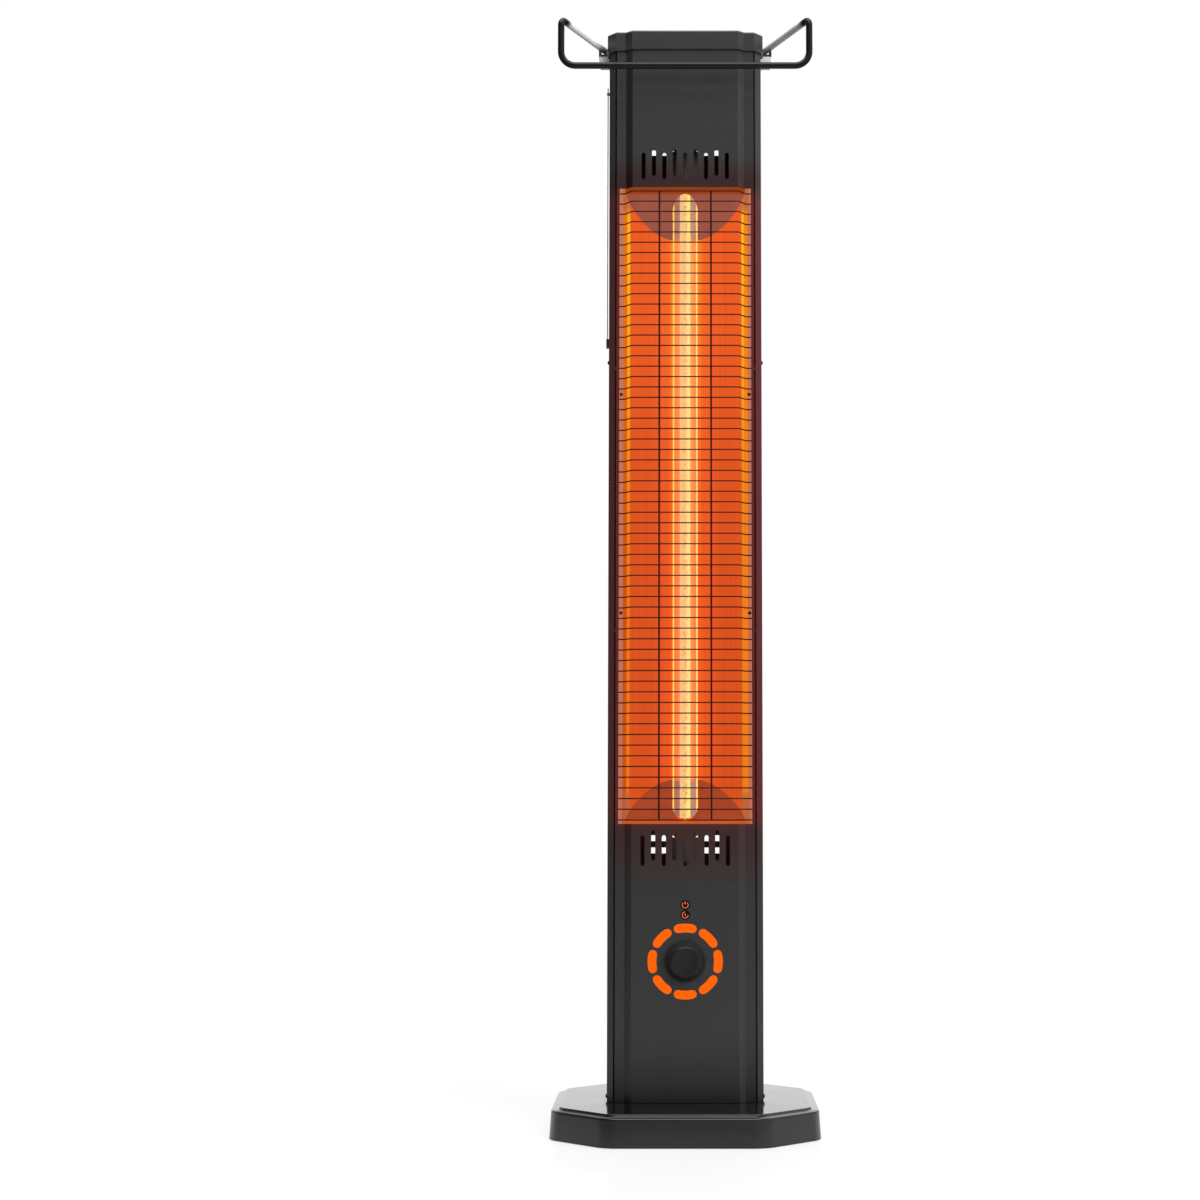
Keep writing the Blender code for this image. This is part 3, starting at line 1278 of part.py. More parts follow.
def screw_profile(length):
    """Round-headed screw along its axis, the head's seat at zero."""
    return [
        (0.0, -length),
        (SCREW_RADIUS, -length),
        (SCREW_RADIUS, 0.0),
        (SCREW_HEAD_RADIUS, 0.0),
        (SCREW_HEAD_RADIUS, SCREW_HEAD_HEIGHT * 0.5),
        (SCREW_HEAD_RADIUS * 0.6, SCREW_HEAD_HEIGHT),
        (0.0, SCREW_HEAD_HEIGHT),
    ]


def make_side_screws():
    """Screws through the column's sides that hold the front panel."""
    for side, sign in (("left", -1), ("right", 1)):
        for level, height in zip(("foot", "upper"), screw_heights()):
            seat = (sign * (SIDE_HALF + FIT), at_depth(SCREW_DEPTH), height)
            bm = turned(screw_profile(SCREW_LENGTH), SMALL_STEPS, centre=seat, toward=(sign, 0.0, 0.0))
            make_object("side_screw_%s_%s" % (level, side), bm, "black_coat", origin=seat, round_piece=True)


# Tip-over switch


def make_tip_frame():
    """Tip-over switch frame: a plate with two ears and the pivot pin."""
    width, depth, sheet = TIP_PLATE
    low = TIP_PLATE_UNDER
    gap = TIP_EAR_GAP / 2
    ear = gap + TIP_EAR_SHEET
    top = TIP_PIVOT + TIP_EYE_RADIUS
    outline = [(-width / 2, low), (width / 2, low), (width / 2, low + sheet), (ear, low + sheet),
               (ear, top), (gap, top), (gap, low + sheet), (-gap, low + sheet), (-gap, top), (-ear, top),
               (-ear, low + sheet), (-width / 2, low + sheet)]
    channel = prism(outline, -depth / 2, depth / 2, along="Y")
    frame = make_object("tip_switch_frame", channel, "black_plastic")
    pin = circle((0.0, TIP_PIVOT), TIP_PIN_RADIUS, 12)
    middle = gap + TIP_EAR_SHEET / 2
    combine(frame, make_cutter("tip_switch_pin", prism(pin, -middle, middle, along="X")), "UNION")


def make_tip_pendulum():
    """Weighted arm that hangs from the pin and swings when the heater tips."""
    half = TIP_ARM_HALF
    bottom = TIP_PIVOT - TIP_WEIGHT_DROP
    arm = bmesh.new()
    eye = arc((0.0, TIP_PIVOT), TIP_EYE_RADIUS, -0.25 * math.pi, 1.25 * math.pi, 12)
    neck = TIP_PIVOT - TIP_EYE_RADIUS
    eye += [(-half, neck), (-half, bottom), (half, bottom), (half, neck)]
    add_prism(arm, eye, -half, half, along="X")
    pendulum = make_object("tip_pendulum", arm, "bare_steel", origin=(0.0, 0.0, TIP_PIVOT))
    profile = [(0.0, bottom), (TIP_WEIGHT_RADIUS, bottom), (TIP_WEIGHT_RADIUS, bottom + TIP_WEIGHT_HEIGHT),
               (0.0, bottom + TIP_WEIGHT_HEIGHT)]
    combine(pendulum, make_cutter("tip_pendulum_weight", turned(profile, ROUND_STEPS)), "UNION")
    bore = circle((0.0, TIP_PIVOT), TIP_PIN_RADIUS + RUNNING_FIT, 16)
    combine(pendulum, make_cutter("tip_pendulum_bore", prism(bore, -2 * half, 2 * half, along="X")))


def make_tip_microswitch():
    """Small switch on the frame's plate that the pendulum's swing opens."""
    width, depth, height = TIP_SWITCH_SIZE
    low = TIP_PLATE_UNDER + TIP_PLATE[2] + FIT
    left = TIP_EAR_GAP / 2 + TIP_EAR_SHEET + FIT
    make_object("tip_microswitch", box((left, -depth / 2, low), (left + width, depth / 2, low + height)),
                "black_plastic")


# Rail and its brackets


def rail_arm_height():
    """Height of the rail's arms at the front corners."""
    return RAIL_TOP - RAIL_ROD_RADIUS


def rail_end_height():
    """Height of the rail's ends beside the cap."""
    return rail_arm_height() - RAIL_END_FALL


def make_rail():
    """One bent rod: back arms, upright drops at the corners and the front bar."""
    arm = rail_arm_height()
    bar = arm - RAIL_DROP
    front = at_depth(-RAIL_FRONT_GAP)
    end = (RAIL_END_HALF, at_depth(RAIL_END_DEPTH), rail_end_height())
    right = [end, (RAIL_HALF, front, arm), (RAIL_HALF, front, bar)]
    left = [(-x, y, z) for x, y, z in reversed(right)]
    radii = [RAIL_TOP_RADIUS, RAIL_CORNER_RADIUS, RAIL_CORNER_RADIUS, RAIL_TOP_RADIUS]
    bm = bmesh.new()
    add_rod(bm, rounded_path(right + left, radii, RAIL_STEPS), RAIL_ROD_RADIUS, RAIL_SIDES)
    make_object("top_rail", bm, "black_coat", round_piece=True)


def hook_floor_height():
    """Top face of the hook's floor, below the rail's end."""
    return rail_end_height() - RAIL_ROD_RADIUS - HOOK_GAP


def hook_screw_height():
    """Height of the hidden screw that holds a rail bracket."""
    return CAP_BOTTOM - HOOK_BLOCK_HEIGHT / 2


def rail_slope():
    """Rise of the rail's arm for each metre outwards."""
    return RAIL_END_FALL / (RAIL_HALF - RAIL_END_HALF)


def make_rail_brackets():
    """Brackets on the column's sides whose hooked tops carry the rail's ends."""
    floor_top = hook_floor_height()
    floor_low = floor_top - HOOK_FLOOR
    block_top = CAP_BOTTOM - 2 * FIT
    block_low = block_top - HOOK_BLOCK_HEIGHT
    wall = SIDE_HALF + FIT
    inner = CAP_SIDE_HALF + 2 * FIT
    outer = HOOK_OUTER_HALF
    run = math.hypot(RAIL_HALF - RAIL_END_HALF, RAIL_END_DEPTH + RAIL_FRONT_GAP)
    under = RAIL_ROD_RADIUS * math.hypot(1.0, RAIL_END_FALL / run) + FIT

    def carried(x):
        return rail_end_height() + rail_slope() * (x - RAIL_END_HALF) - under

    half_outline = [
        (wall, block_low),
        (outer - HOOK_TAPER, block_low),
        (outer, floor_low),
        (outer, carried(outer - HOOK_WALL)),
        (outer - HOOK_WALL, carried(outer - HOOK_WALL)),
        (outer - HOOK_WALL, floor_top),
        (inner + HOOK_WALL, floor_top),
        (inner + HOOK_WALL, carried(inner)),
        (inner, carried(inner)),
        (inner, block_top),
        (wall, block_top),
    ]
    near = at_depth(HOOK_DEPTH - HOOK_LENGTH / 2)
    for side, sign in (("left", -1), ("right", 1)):
        outline = [(sign * x, z) for x, z in half_outline]
        bracket = make_object("rail_bracket_" + side, prism(outline, near, near + HOOK_LENGTH, along="Y"),
                              "black_coat")
        hole = circle((at_depth(HOOK_DEPTH), hook_screw_height()), SCREW_RADIUS + FIT, 12)
        ends = sorted((sign * (wall - HOUSING_SHEET), sign * (wall + HOOK_SCREW_REACH)))
        combine(bracket, make_cutter("rail_bracket_hole_" + side, prism(hole, *ends, along="X")))
        seat = (sign * (SIDE_INNER - FIT), at_depth(HOOK_DEPTH), hook_screw_height())
        length = HOUSING_SHEET + HOOK_SCREW_REACH
        bm = turned(screw_profile(length), SMALL_STEPS, centre=seat, toward=(-sign, 0.0, 0.0))
        make_object("rail_screw_" + side, bm, "bare_steel", origin=seat, round_piece=True)


# Side rod


def make_side_rod():
    """Thin rod along the upper left side, held by a clip and a foot block."""
    x = -(SIDE_HALF + SIDE_ROD_OUT)
    y = at_depth(SIDE_ROD_DEPTH)
    low = SIDE_ROD_TOP - SIDE_ROD_LENGTH
    bm = bmesh.new()
    add_rod(bm, [(x, y, low), (x, y, SIDE_ROD_TOP)], SIDE_ROD_RADIUS, 8)
    make_object("side_rod", bm, "bare_steel", origin=(x, y, low), round_piece=True)
    clip_top = SIDE_ROD_TOP - SIDE_CLIP_BELOW_TOP
    make_side_clip("side_rod_clip", clip_top - SIDE_CLIP_HEIGHT, clip_top, clip_top + SIDE_CLIP_HEIGHT)
    block_low = low - SIDE_CLIP_WALL - FIT
    block_top = block_low + SIDE_BLOCK_HEIGHT
    make_side_clip("side_rod_foot", block_low, block_top, block_top + SIDE_BLOCK_HEIGHT)


def make_side_clip(name, low, high, reach):
    """Small block on the left side wall, bored for the thin rod."""
    near = -(SIDE_HALF + FIT)
    far = -(SIDE_HALF + SIDE_ROD_OUT + SIDE_ROD_RADIUS + RUNNING_FIT + SIDE_CLIP_WALL)
    y = at_depth(SIDE_ROD_DEPTH)
    clip = make_object(name, box((far, y - SIDE_CLIP_HALF, low), (near, y + SIDE_CLIP_HALF, high)),
                       "black_plastic")
    bore = circle((-(SIDE_HALF + SIDE_ROD_OUT), y), SIDE_ROD_RADIUS + RUNNING_FIT, 8)
    bottom = low + SIDE_CLIP_WALL if name == "side_rod_foot" else low - SIDE_CLIP_WALL
    combine(clip, make_cutter(name + "_bore", prism(bore, bottom, reach)))


def build():
    """Model every piece of the heater."""
    clear_scene()
    make_base_cover()
    make_bottom_plate()
    make_ballast()
    make_pads()
    make_rear_housing()
    make_front_panel()
    make_top_cap()
    make_guard()
    make_reflector()
    make_end_plates()
    make_quartz_tube()
    make_element()
    make_tube_holders()
    make_thermal_cutout()
    make_leads()
    make_knob()
    make_shaft()
    make_slider()
    make_encoder()
    make_light_ring()
    make_icon_lens()
    make_control_board()
    make_power_board()
    make_relay()
    make_heat_sink()
    make_terminal_block()
    make_cable_gland()
    make_foot_bracket()
    make_foot_bolts()
    make_side_screws()
    make_tip_frame()
    make_tip_pendulum()
    make_tip_microswitch()
    make_rail()
    make_rail_brackets()
    make_side_rod()


build()
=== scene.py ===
"""Looks of an electric patio heater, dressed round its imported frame.

The front faces -Y, +X is the viewer's right and +Z is up. All sizes are in metres.
"""

import logging
import math
from dataclasses import dataclass, field
from enum import Enum
from typing import Any

import bmesh
import bpy
from mathutils import Matrix, Vector

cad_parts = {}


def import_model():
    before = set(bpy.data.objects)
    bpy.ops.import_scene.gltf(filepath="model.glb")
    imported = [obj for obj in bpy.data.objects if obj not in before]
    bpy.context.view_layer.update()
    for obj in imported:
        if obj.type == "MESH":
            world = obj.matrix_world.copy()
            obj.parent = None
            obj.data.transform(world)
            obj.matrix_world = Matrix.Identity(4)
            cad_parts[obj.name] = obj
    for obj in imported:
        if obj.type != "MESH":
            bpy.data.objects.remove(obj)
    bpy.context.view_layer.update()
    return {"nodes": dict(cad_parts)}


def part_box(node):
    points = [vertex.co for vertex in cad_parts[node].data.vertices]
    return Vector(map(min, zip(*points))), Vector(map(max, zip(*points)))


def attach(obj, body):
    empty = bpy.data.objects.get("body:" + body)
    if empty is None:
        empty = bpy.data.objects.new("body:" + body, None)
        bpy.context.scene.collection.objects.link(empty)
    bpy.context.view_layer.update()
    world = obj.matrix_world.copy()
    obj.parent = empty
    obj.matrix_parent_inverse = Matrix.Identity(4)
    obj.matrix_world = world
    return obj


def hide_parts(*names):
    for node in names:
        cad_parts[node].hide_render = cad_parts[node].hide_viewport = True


LOG = logging.getLogger("patio_heater")

Colour = tuple[float, float, float]
Point = tuple[float, float, float]
Span = tuple[float, float]
Zone = tuple[float, float, float]
Number = "Signal | float"
Mesh = bmesh.types.BMesh
Vert = bmesh.types.BMVert
Edge = bmesh.types.BMEdge
Face = bmesh.types.BMFace

WHITE = (1.0, 1.0, 1.0)
UP = Vector((0.0, 0.0, 1.0))
MERGE = 1e-6
NOISE_MIDDLE = 0.5


def grey(level: float) -> Colour:
    """A neutral colour."""
    return (level, level, level)


class Body(Enum):
    """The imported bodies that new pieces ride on."""

    HEATER = "heater"
    DIAL = "dial"


class Axis(Enum):
    """The object's own axes, as outputs of the coordinate splitter."""

    X = "X"
    Y = "Y"
    Z = "Z"


# Shader tools


class Signal:
    """A shader output that takes part in Python expressions."""

    def __init__(self, recipe: "Recipe", socket: bpy.types.NodeSocket) -> None:
        """Keep the recipe and the wrapped socket."""
        self.recipe = recipe
        self.socket = socket

    def output(self, name: str) -> "Signal":
        """Another output of the same node."""
        return Signal(self.recipe, self.socket.node.outputs[name])

    def math(self, operation: str, *values: Number) -> "Signal":
        """Add one Math node that works on the given values."""
        inputs = dict(enumerate(values))
        return self.recipe.node("ShaderNodeMath", {"operation": operation}, inputs)

    def __add__(self, other: Number) -> "Signal":
        """Sum."""
        return self.math("ADD", self, other)

    __radd__ = __add__

    def __sub__(self, other: Number) -> "Signal":
        """Difference."""
        return self.math("SUBTRACT", self, other)

    def __rsub__(self, other: Number) -> "Signal":
        """Difference from a number."""
        return self.math("SUBTRACT", other, self)

    def __mul__(self, other: Number) -> "Signal":
        """Product."""
        return self.math("MULTIPLY", self, other)

    __rmul__ = __mul__

    def __truediv__(self, other: Number) -> "Signal":
        """Quotient."""
        return self.math("DIVIDE", self, other)

    def __abs__(self) -> "Signal":
        """Size without its sign."""
        return self.math("ABSOLUTE", self)

    def between(self, low: float, high: float) -> "Signal":
        """Smooth step from 0 at the low value to 1 at the high value.

        Args:
            low: Where the step starts. It may be above high for a falling step.
            high: Where the step ends.

        Returns:
            The smoothed share.
        """
        falling = low > high
        inputs = {"Value": self, "From Min": min(low, high), "From Max": max(low, high)}
        step = self.recipe.node("ShaderNodeMapRange", {"interpolation_type": "SMOOTHSTEP"}, inputs)
        return 1.0 - step if falling else step

    def zone(self, low: float, high: float, soft: float) -> "Signal":
        """1 between two values and 0 outside them, with soft ends."""
        return self.between(low - soft, low + soft) * self.between(high + soft, high - soft)

    def patches(self, spread: float) -> "Signal":
        """Smooth step over a noise's middle value, as soft-edged patches."""
        return self.between(NOISE_MIDDLE - spread, NOISE_MIDDLE + spread)


class Recipe:
    """A material's or the world's node tree, built from named steps."""

    def __init__(self, tree: bpy.types.NodeTree) -> None:
        """Start from an empty tree."""
        self.tree = tree
        tree.nodes.clear()

    def node(self, kind: str, settings: dict[str, Any], inputs: dict[Any, Any]) -> Signal:
        """Add any node.

        Args:
            kind: The node's type.
            settings: Its own options, set first; "stops" holds a ramp's stops.
            inputs: Values or signals by socket name or number.

        Returns:
            The node's first enabled output.
        """
        made = self.tree.nodes.new(kind)
        for name, value in settings.items():
            if name == "stops":
                ramp = made.color_ramp.elements
                while len(ramp) < len(value):
                    ramp.new(0.5)
                for element, (place, colour) in zip(ramp, value):
                    element.position = place
                    element.color = (*colour, 1.0)
            else:
                setattr(made, name, value)
        for name, value in inputs.items():
            socket = made.inputs[name]
            if isinstance(value, Signal):
                self.tree.links.new(value.socket, socket)
            elif isinstance(value, tuple) and len(value) == 3 and socket.type == "RGBA":
                socket.default_value = (*value, 1.0)
            else:
                socket.default_value = value
        outputs = [socket for socket in made.outputs if socket.enabled]
        return Signal(self, outputs[0]) if outputs else Signal(self, None)

    def place(self) -> Signal:
        """The object's own coordinates."""
        return self.node("ShaderNodeTexCoord", {}, {}).output("Object")

    def along(self, axis: Axis) -> Signal:
        """One of the object's own coordinates."""
        return self.node("ShaderNodeSeparateXYZ", {}, {0: self.place()}).output(axis.value)

    def blend(self, first: "Signal | Colour", second: "Signal | Colour", share: Number) -> Signal:
        """Mix two colours by a share."""
        return self.node("ShaderNodeMix", {"data_type": "RGBA"}, {0: share, 6: first, 7: second})

    def noise(self, scale: float, detail: float = 2.0, stretch: Point = (1.0, 1.0, 1.0)) -> Signal:
        """Noise in object space.

        Args:
            scale: Cells per metre.
            detail: Octaves.
            stretch: Scale along each axis, to draw the cells out.

        Returns:
            A value near 0.5 that wanders.
        """
        place = self.node("ShaderNodeMapping", {}, {"Vector": self.place(), "Scale": stretch})
        return self.node("ShaderNodeTexNoise", {}, {"Vector": place, "Scale": scale, "Detail": detail})

    def finish(self, surface: Signal) -> None:
        """Send the surface to the material's output."""
        self.node("ShaderNodeOutputMaterial", {}, {"Surface": surface})


# Finishes


@dataclass(frozen=True)
class Finish:
    """A plain finish with fine grain, the root of the others."""

    name: str
    colour: Colour
    roughness: float
    metallic: float = 0.0
    specular: float = 0.5
    coat: float = 0.0
    coat_roughness: float = 0.05
    grain: float = 900.0
    grain_bump: float = 0.12
    grain_depth: float = 0.0002
    mottle: float = 0.12
    mottle_size: float = 14.0
    smear: float = 0.35
    smear_size: float = 6.0

    def material(self) -> bpy.types.Material:
        """Build the material, or find it when it was built before.

        Returns:
            The finish as a material.
        """
        found = bpy.data.materials.get(self.name)
        if found is not None:
            return found
        made = bpy.data.materials.new(self.name)
        made.use_nodes = True
        made.diffuse_color = (*self.colour, 1.0)
        recipe = Recipe(made.node_tree)
        recipe.finish(recipe.node("ShaderNodeBsdfPrincipled", {}, self.sockets(recipe)))
        return made

    def base_colour(self, recipe: Recipe) -> Signal:
        """Colour that wanders a little over the surface.

        Args:
            recipe: The material's node tree.

        Returns:
            The surface's colour.
        """
        dark = tuple(value * (1.0 - self.mottle) for value in self.colour)
        light = tuple(min(1.0, value * (1.0 + self.mottle)) for value in self.colour)
        patches = recipe.noise(self.grain / self.mottle_size, detail=3.0).patches(spread=0.2)
        return recipe.blend(dark, light, patches)

    def uneven_roughness(self, recipe: Recipe) -> Signal:
        """Roughness that wanders with a soft noise."""
        wander = recipe.noise(self.grain / self.smear_size) - NOISE_MIDDLE
        return wander * (self.smear * self.roughness) + self.roughness

    def sockets(self, recipe: Recipe) -> dict[str, Any]:
        """What the surface's sockets hold, with a fine grain as bumps.

        Args:
            recipe: The material's node tree.

        Returns:
            Values and signals by socket name.
        """
        grain = {"Height": recipe.noise(self.grain), "Strength": self.grain_bump,
                 "Distance": self.grain_depth}
        return {
            "Base Color": self.base_colour(recipe),
            "Roughness": self.uneven_roughness(recipe),
            "Normal": recipe.node("ShaderNodeBump", {}, grain),
            "Metallic": self.metallic,
            "Specular IOR Level": self.specular,
            "Coat Weight": self.coat,
            "Coat Roughness": self.coat_roughness,
        }


@dataclass(frozen=True)
class PowderCoatPaintedGlow(Finish):
    """Dark satin coat with the window's orange glow painted on: brownish above and below the glowing window,
    reddish beside it, and painted shade towards the foot.
    """

    # Painted glow colours, then the painted shade at the foot.
    painted_glow_brown: Colour = (0.0125, 0.0010, 0.0008)
    painted_glow_below: Colour = (0.0225, 0.0055, 0.0058)
    painted_glow_red: Colour = (0.068, 0.0030, 0.0028)
    painted_foot_shade: Colour = grey(0.002)
    low: float = 0.2728
    high: float = 0.8440
    near: float = 0.008
    far_low: float = 0.070
    far_high: float = 0.040
    foot: float = 0.034
    foot_fade: float = 0.060
    rim_back: float = -0.0365
    rim_fade: float = 0.012

    def base_colour(self, recipe: Recipe) -> Signal:
        """Coat colour with the painted glow colours by height on the front and its rims, and painted shade
        towards the foot.

        Args:
            recipe: The material's node tree.

        Returns:
            The surface's colour.
        """
        front = recipe.along(Axis.Y).between(self.rim_back + self.rim_fade, self.rim_back)
        height = recipe.along(Axis.Z)
        rise = height.between(self.low - self.far_low, self.low - self.near)
        fall = height.between(self.high + self.far_high, self.high + self.near)
        # Painted light: the window's orange glow, brownish above and below the window and reddish beside it,
        # on the front and its rims only.
        painted_glow = recipe.blend(self.painted_glow_below, self.painted_glow_brown, height.between(self.low, self.high))
        painted_glow_brown = recipe.blend(super().base_colour(recipe), painted_glow, rise * fall * front)
        coat = recipe.blend(painted_glow_brown, self.painted_glow_red, height.zone(self.low, self.high, self.near) * front)
        # Painted shade: darker towards the foot.
        return recipe.blend(self.painted_foot_shade, coat, height.between(self.foot, self.foot + self.foot_fade))


@dataclass(frozen=True)
class TwoTone(Finish):
    """One colour before a place along an axis, and another after it."""

    other: Colour = grey(0.3)
    axis: Axis = Axis.Z
    start: float = 0.0
    end: float = 0.001

    def base_colour(self, recipe: Recipe) -> Signal:
        """Both colours, parted along the axis."""
        share = recipe.along(self.axis).between(self.start, self.end)
        return recipe.blend(super().base_colour(recipe), self.other, share)


@dataclass(frozen=True)
class Glow(Finish):
    """A surface that gives light of one colour, uneven by a fine noise."""

    light: Colour = (1.0, 0.13, 0.0)
    strength: float = 1.0
    uneven: float = 0.06
    patch_size: float = 5.0

    def emission(self, recipe: Recipe) -> Signal:
        """Light that is a little uneven over the surface.

        Args:
            recipe: The material's node tree.

        Returns:
            The light's colour.
        """
        dim = tuple(value * (1.0 - self.uneven) for value in self.light)
        patches = recipe.noise(self.grain / self.patch_size).patches(spread=0.15)
        return recipe.blend(dim, self.light, patches)

    def sockets(self, recipe: Recipe) -> dict[str, Any]:
        """The plain surface's sockets, and its light."""
        light = {"Emission Color": self.emission(recipe), "Emission Strength": self.strength}
        return {**super().sockets(recipe), **light}


@dataclass(frozen=True)
class TroughGlow(Glow):
    """Polished trough with the element's light painted on as glow: painted bands of reflected orange across
    its width, a bright painted streak at the right and a darker painted glow at its edges above and below the
    open zone.
    """

    half: float = 0.0622
    bands: tuple[tuple[float, Colour, Colour], ...] = ()
    low: float = 0.46
    high: float = 0.84
    middle: float = 0.0005
    streak_cells: Point = (420.0, 1.0, 3.0)
    streak_tint: Colour = (0.94, 0.88, 0.82)
    # Painted highlight: colour and place of a bright streak near the right edge.
    right: Colour = (0.95, 0.235, 0.006)
    right_zone: Zone = (0.0536, 0.0566, 0.0005)
    end: Colour = (0.46, 0.115, 0.045)
    open_zone: Zone = (0.3000, 0.8290, 0.006)
    edge_inner: Span = (0.77, 0.83)
    edge_outer: Span = (0.93, 0.90)
    cover: float = 0.85

    def emission(self, recipe: Recipe) -> Signal:
        """Painted orange bands of reflected light by distance from the middle line, yellower towards the top.

        Args:
            recipe: The material's node tree.

        Returns:
            The light's colour.
        """
        across = abs(recipe.along(Axis.X) - self.middle) / self.half
        ramps = []
        for colour in (1, 2):
            stops = [(stop[0] / self.half, stop[colour]) for stop in self.bands]
            ramps.append(recipe.node("ShaderNodeValToRGB", {"stops": stops}, {0: across}))
        light = recipe.blend(*ramps, recipe.along(Axis.Z).between(self.low, self.high))
        streaks = recipe.noise(1.0, stretch=self.streak_cells).patches(spread=0.25)
        dim = recipe.node("ShaderNodeMix", {"data_type": "RGBA", "blend_type": "MULTIPLY"},
                          {0: 1.0, 6: light, 7: self.streak_tint})
        # Painted highlight streak at the right.
        right = recipe.along(Axis.X).zone(*self.right_zone)
        light = recipe.blend(recipe.blend(dim, light, streaks), self.right, right * self.cover)
        # Darker painted glow along the edges above and below the open zone.
        inside = recipe.along(Axis.Z).zone(*self.open_zone)
        edge = across.between(*self.edge_inner) * across.between(*self.edge_outer)
        return recipe.blend(light, self.end, edge * (1.0 - inside) * self.cover)


@dataclass(frozen=True)
class PlateGlow(Glow):
    """Slanting plate with the element's light painted on as glow, deeper at its front edge."""

    lip_glow: Colour = (0.30, 0.045, 0.005)
    lip_back: float = -0.0352
    lip_soft: float = 0.0003

    def emission(self, recipe: Recipe) -> Signal:
        """The plate's painted glow, and a deeper painted glow at the very front."""
        share = recipe.along(Axis.Y).between(self.lip_back + self.lip_soft, self.lip_back - self.lip_soft)
        return recipe.blend(super().emission(recipe), self.lip_glow, share)


@dataclass(frozen=True)
class ElementGlow(Glow):
    """Glowing element: pale amber with darker flecks and one bright stripe."""

    stripe: Colour = (1.0, 0.86, 0.19)
    stripe_left: Span = (0.0004, 0.0018)
    stripe_right: Span = (0.0048, 0.0036)
    wander: float = 0.0022
    wander_cells: float = 140.0
    fleck: Colour = (0.62, 0.26, 0.07)
    fleck_cells: float = 620.0
    fleck_stretch: Point = (1.0, 1.0, 0.7)
    fleck_step: Span = (0.50, 0.60)
    fleck_zone: Zone = (-0.0024, 0.0020, 0.0014)
    fleck_cover: float = 0.70
    hot_zone: Zone = (0.2735, 0.8502, 0.0003)

    def emission(self, recipe: Recipe) -> Signal:
        """Body colour, bright stripe and flecks, dark beyond the hot length.

        Args:
            recipe: The material's node tree.

        Returns:
            The light's colour.
        """
        side = recipe.along(Axis.X)
        place = side + (recipe.noise(self.wander_cells) - NOISE_MIDDLE) * self.wander
        stripe = place.between(*self.stripe_left) * place.between(*self.stripe_right)
        body = recipe.blend(self.light, self.stripe, stripe)
        flecks = recipe.noise(self.fleck_cells, stretch=self.fleck_stretch).between(*self.fleck_step)
        glow = recipe.blend(body, self.fleck, flecks * side.zone(*self.fleck_zone) * self.fleck_cover)
        return recipe.blend(grey(0.0), glow, recipe.along(Axis.Z).zone(*self.hot_zone))


@dataclass(frozen=True)
class ClearTube(Finish):
    """Clear heated glass whose edges catch the element's light."""

    haze: Colour = (1.0, 0.30, 0.09)
    edge: Colour = (1.0, 0.66, 0.09)
    cool: Colour = (0.17, 0.085, 0.095)
    centre: float = -0.0235
    outer: float = 0.0109
    skin: float = 0.0002
    hot_zone: Zone = (0.2800, 0.8450, 0.0008)
    lit_zone: Zone = (0.3110, 0.8080, 0.0008)
    line_inner: Span = (0.47, 0.54)
    line_outer: Span = (0.86, 0.78)
    line_cover: float = 0.55
    glow_side: Span = (0.0090, 0.0056)
    glow_cover: float = 0.12
    body_facing: Span = (0.80, 0.66)
    cool_side: Span = (0.0040, 0.0054)
    cool_cover: float = 0.58
    lit_cover: float = 0.12
    least_cover: float = 0.02

    def sockets(self, recipe: Recipe) -> dict[str, Any]:
        """Mostly see-through glass with bright edges along the hot length.

        Args:
            recipe: The material's node tree.

        Returns:
            Values and signals by socket name.
        """
        facing = recipe.node("ShaderNodeLayerWeight", {}, {"Blend": 0.5}).output("Facing")
        side, height = recipe.along(Axis.X), recipe.along(Axis.Z)
        deep = recipe.along(Axis.Y) - self.centre
        radius = side.math("SQRT", side * side + deep * deep)
        hot = height.zone(*self.hot_zone) * radius.between(self.outer - self.skin, self.outer)
        lit = height.zone(*self.lit_zone)
        line = facing.between(*self.line_inner) * facing.between(*self.line_outer)
        glow = abs(side).between(*self.glow_side) * lit
        body = facing.between(*self.body_facing) * (abs(side).between(*self.cool_side) * (1.0 - lit) + lit)
        depth = lit * (self.lit_cover - self.cool_cover) + self.cool_cover
        cover = line * self.line_cover + glow * self.glow_cover + body * depth
        return {
            "Base Color": self.colour,
            "Roughness": self.roughness,
            "Alpha": hot * cover + self.least_cover,
            "Emission Color": recipe.blend(recipe.blend(self.cool, self.haze, lit), self.edge, line),
            "Emission Strength": 1.0,
            "Specular IOR Level": self.specular,
        }


@dataclass(frozen=True)
class KnobSatin(Finish):
    """Moulded knob: matt walls and a smoother face."""

    face_start: float = -0.0635
    face_fade: float = 0.0006
    face_roughness: float = 0.30

    def uneven_roughness(self, recipe: Recipe) -> Signal:
        """Matt roughness that drops at the face."""
        share = recipe.along(Axis.Y).between(self.face_start, self.face_start - self.face_fade)
        return super().uneven_roughness(recipe) * (1.0 - share) + share * self.face_roughness


# Shape tools


def only(kind: type, results: list[Any]) -> list[Any]:
    """The vertices, or the edges, among an operator's results."""
    return [item for item in results if isinstance(item, kind)]


def turn(start: Vector, end: Vector) -> Matrix:
    """Rotation from one direction to another."""
    return start.rotation_difference(end).to_matrix().to_4x4()


def bezel(bm: Mesh, edges: list[Edge], width: float, segments: int, clamp: bool = True) -> list[Face]:
    """Round off some edges.

    Args:
        bm: The mesh.
        edges: The edges to round.
        width: Distance of the new edges from the old one.
        segments: Steps over the rounding.
        clamp: Whether narrow places make the whole rounding smaller.

    Returns:
        The faces of the rounding.
    """
    return bmesh.ops.bevel(bm, geom=edges, offset=width, offset_type="OFFSET", segments=segments,
                           profile=0.5, clamp_overlap=clamp, affect="EDGES", material=-1)["faces"]


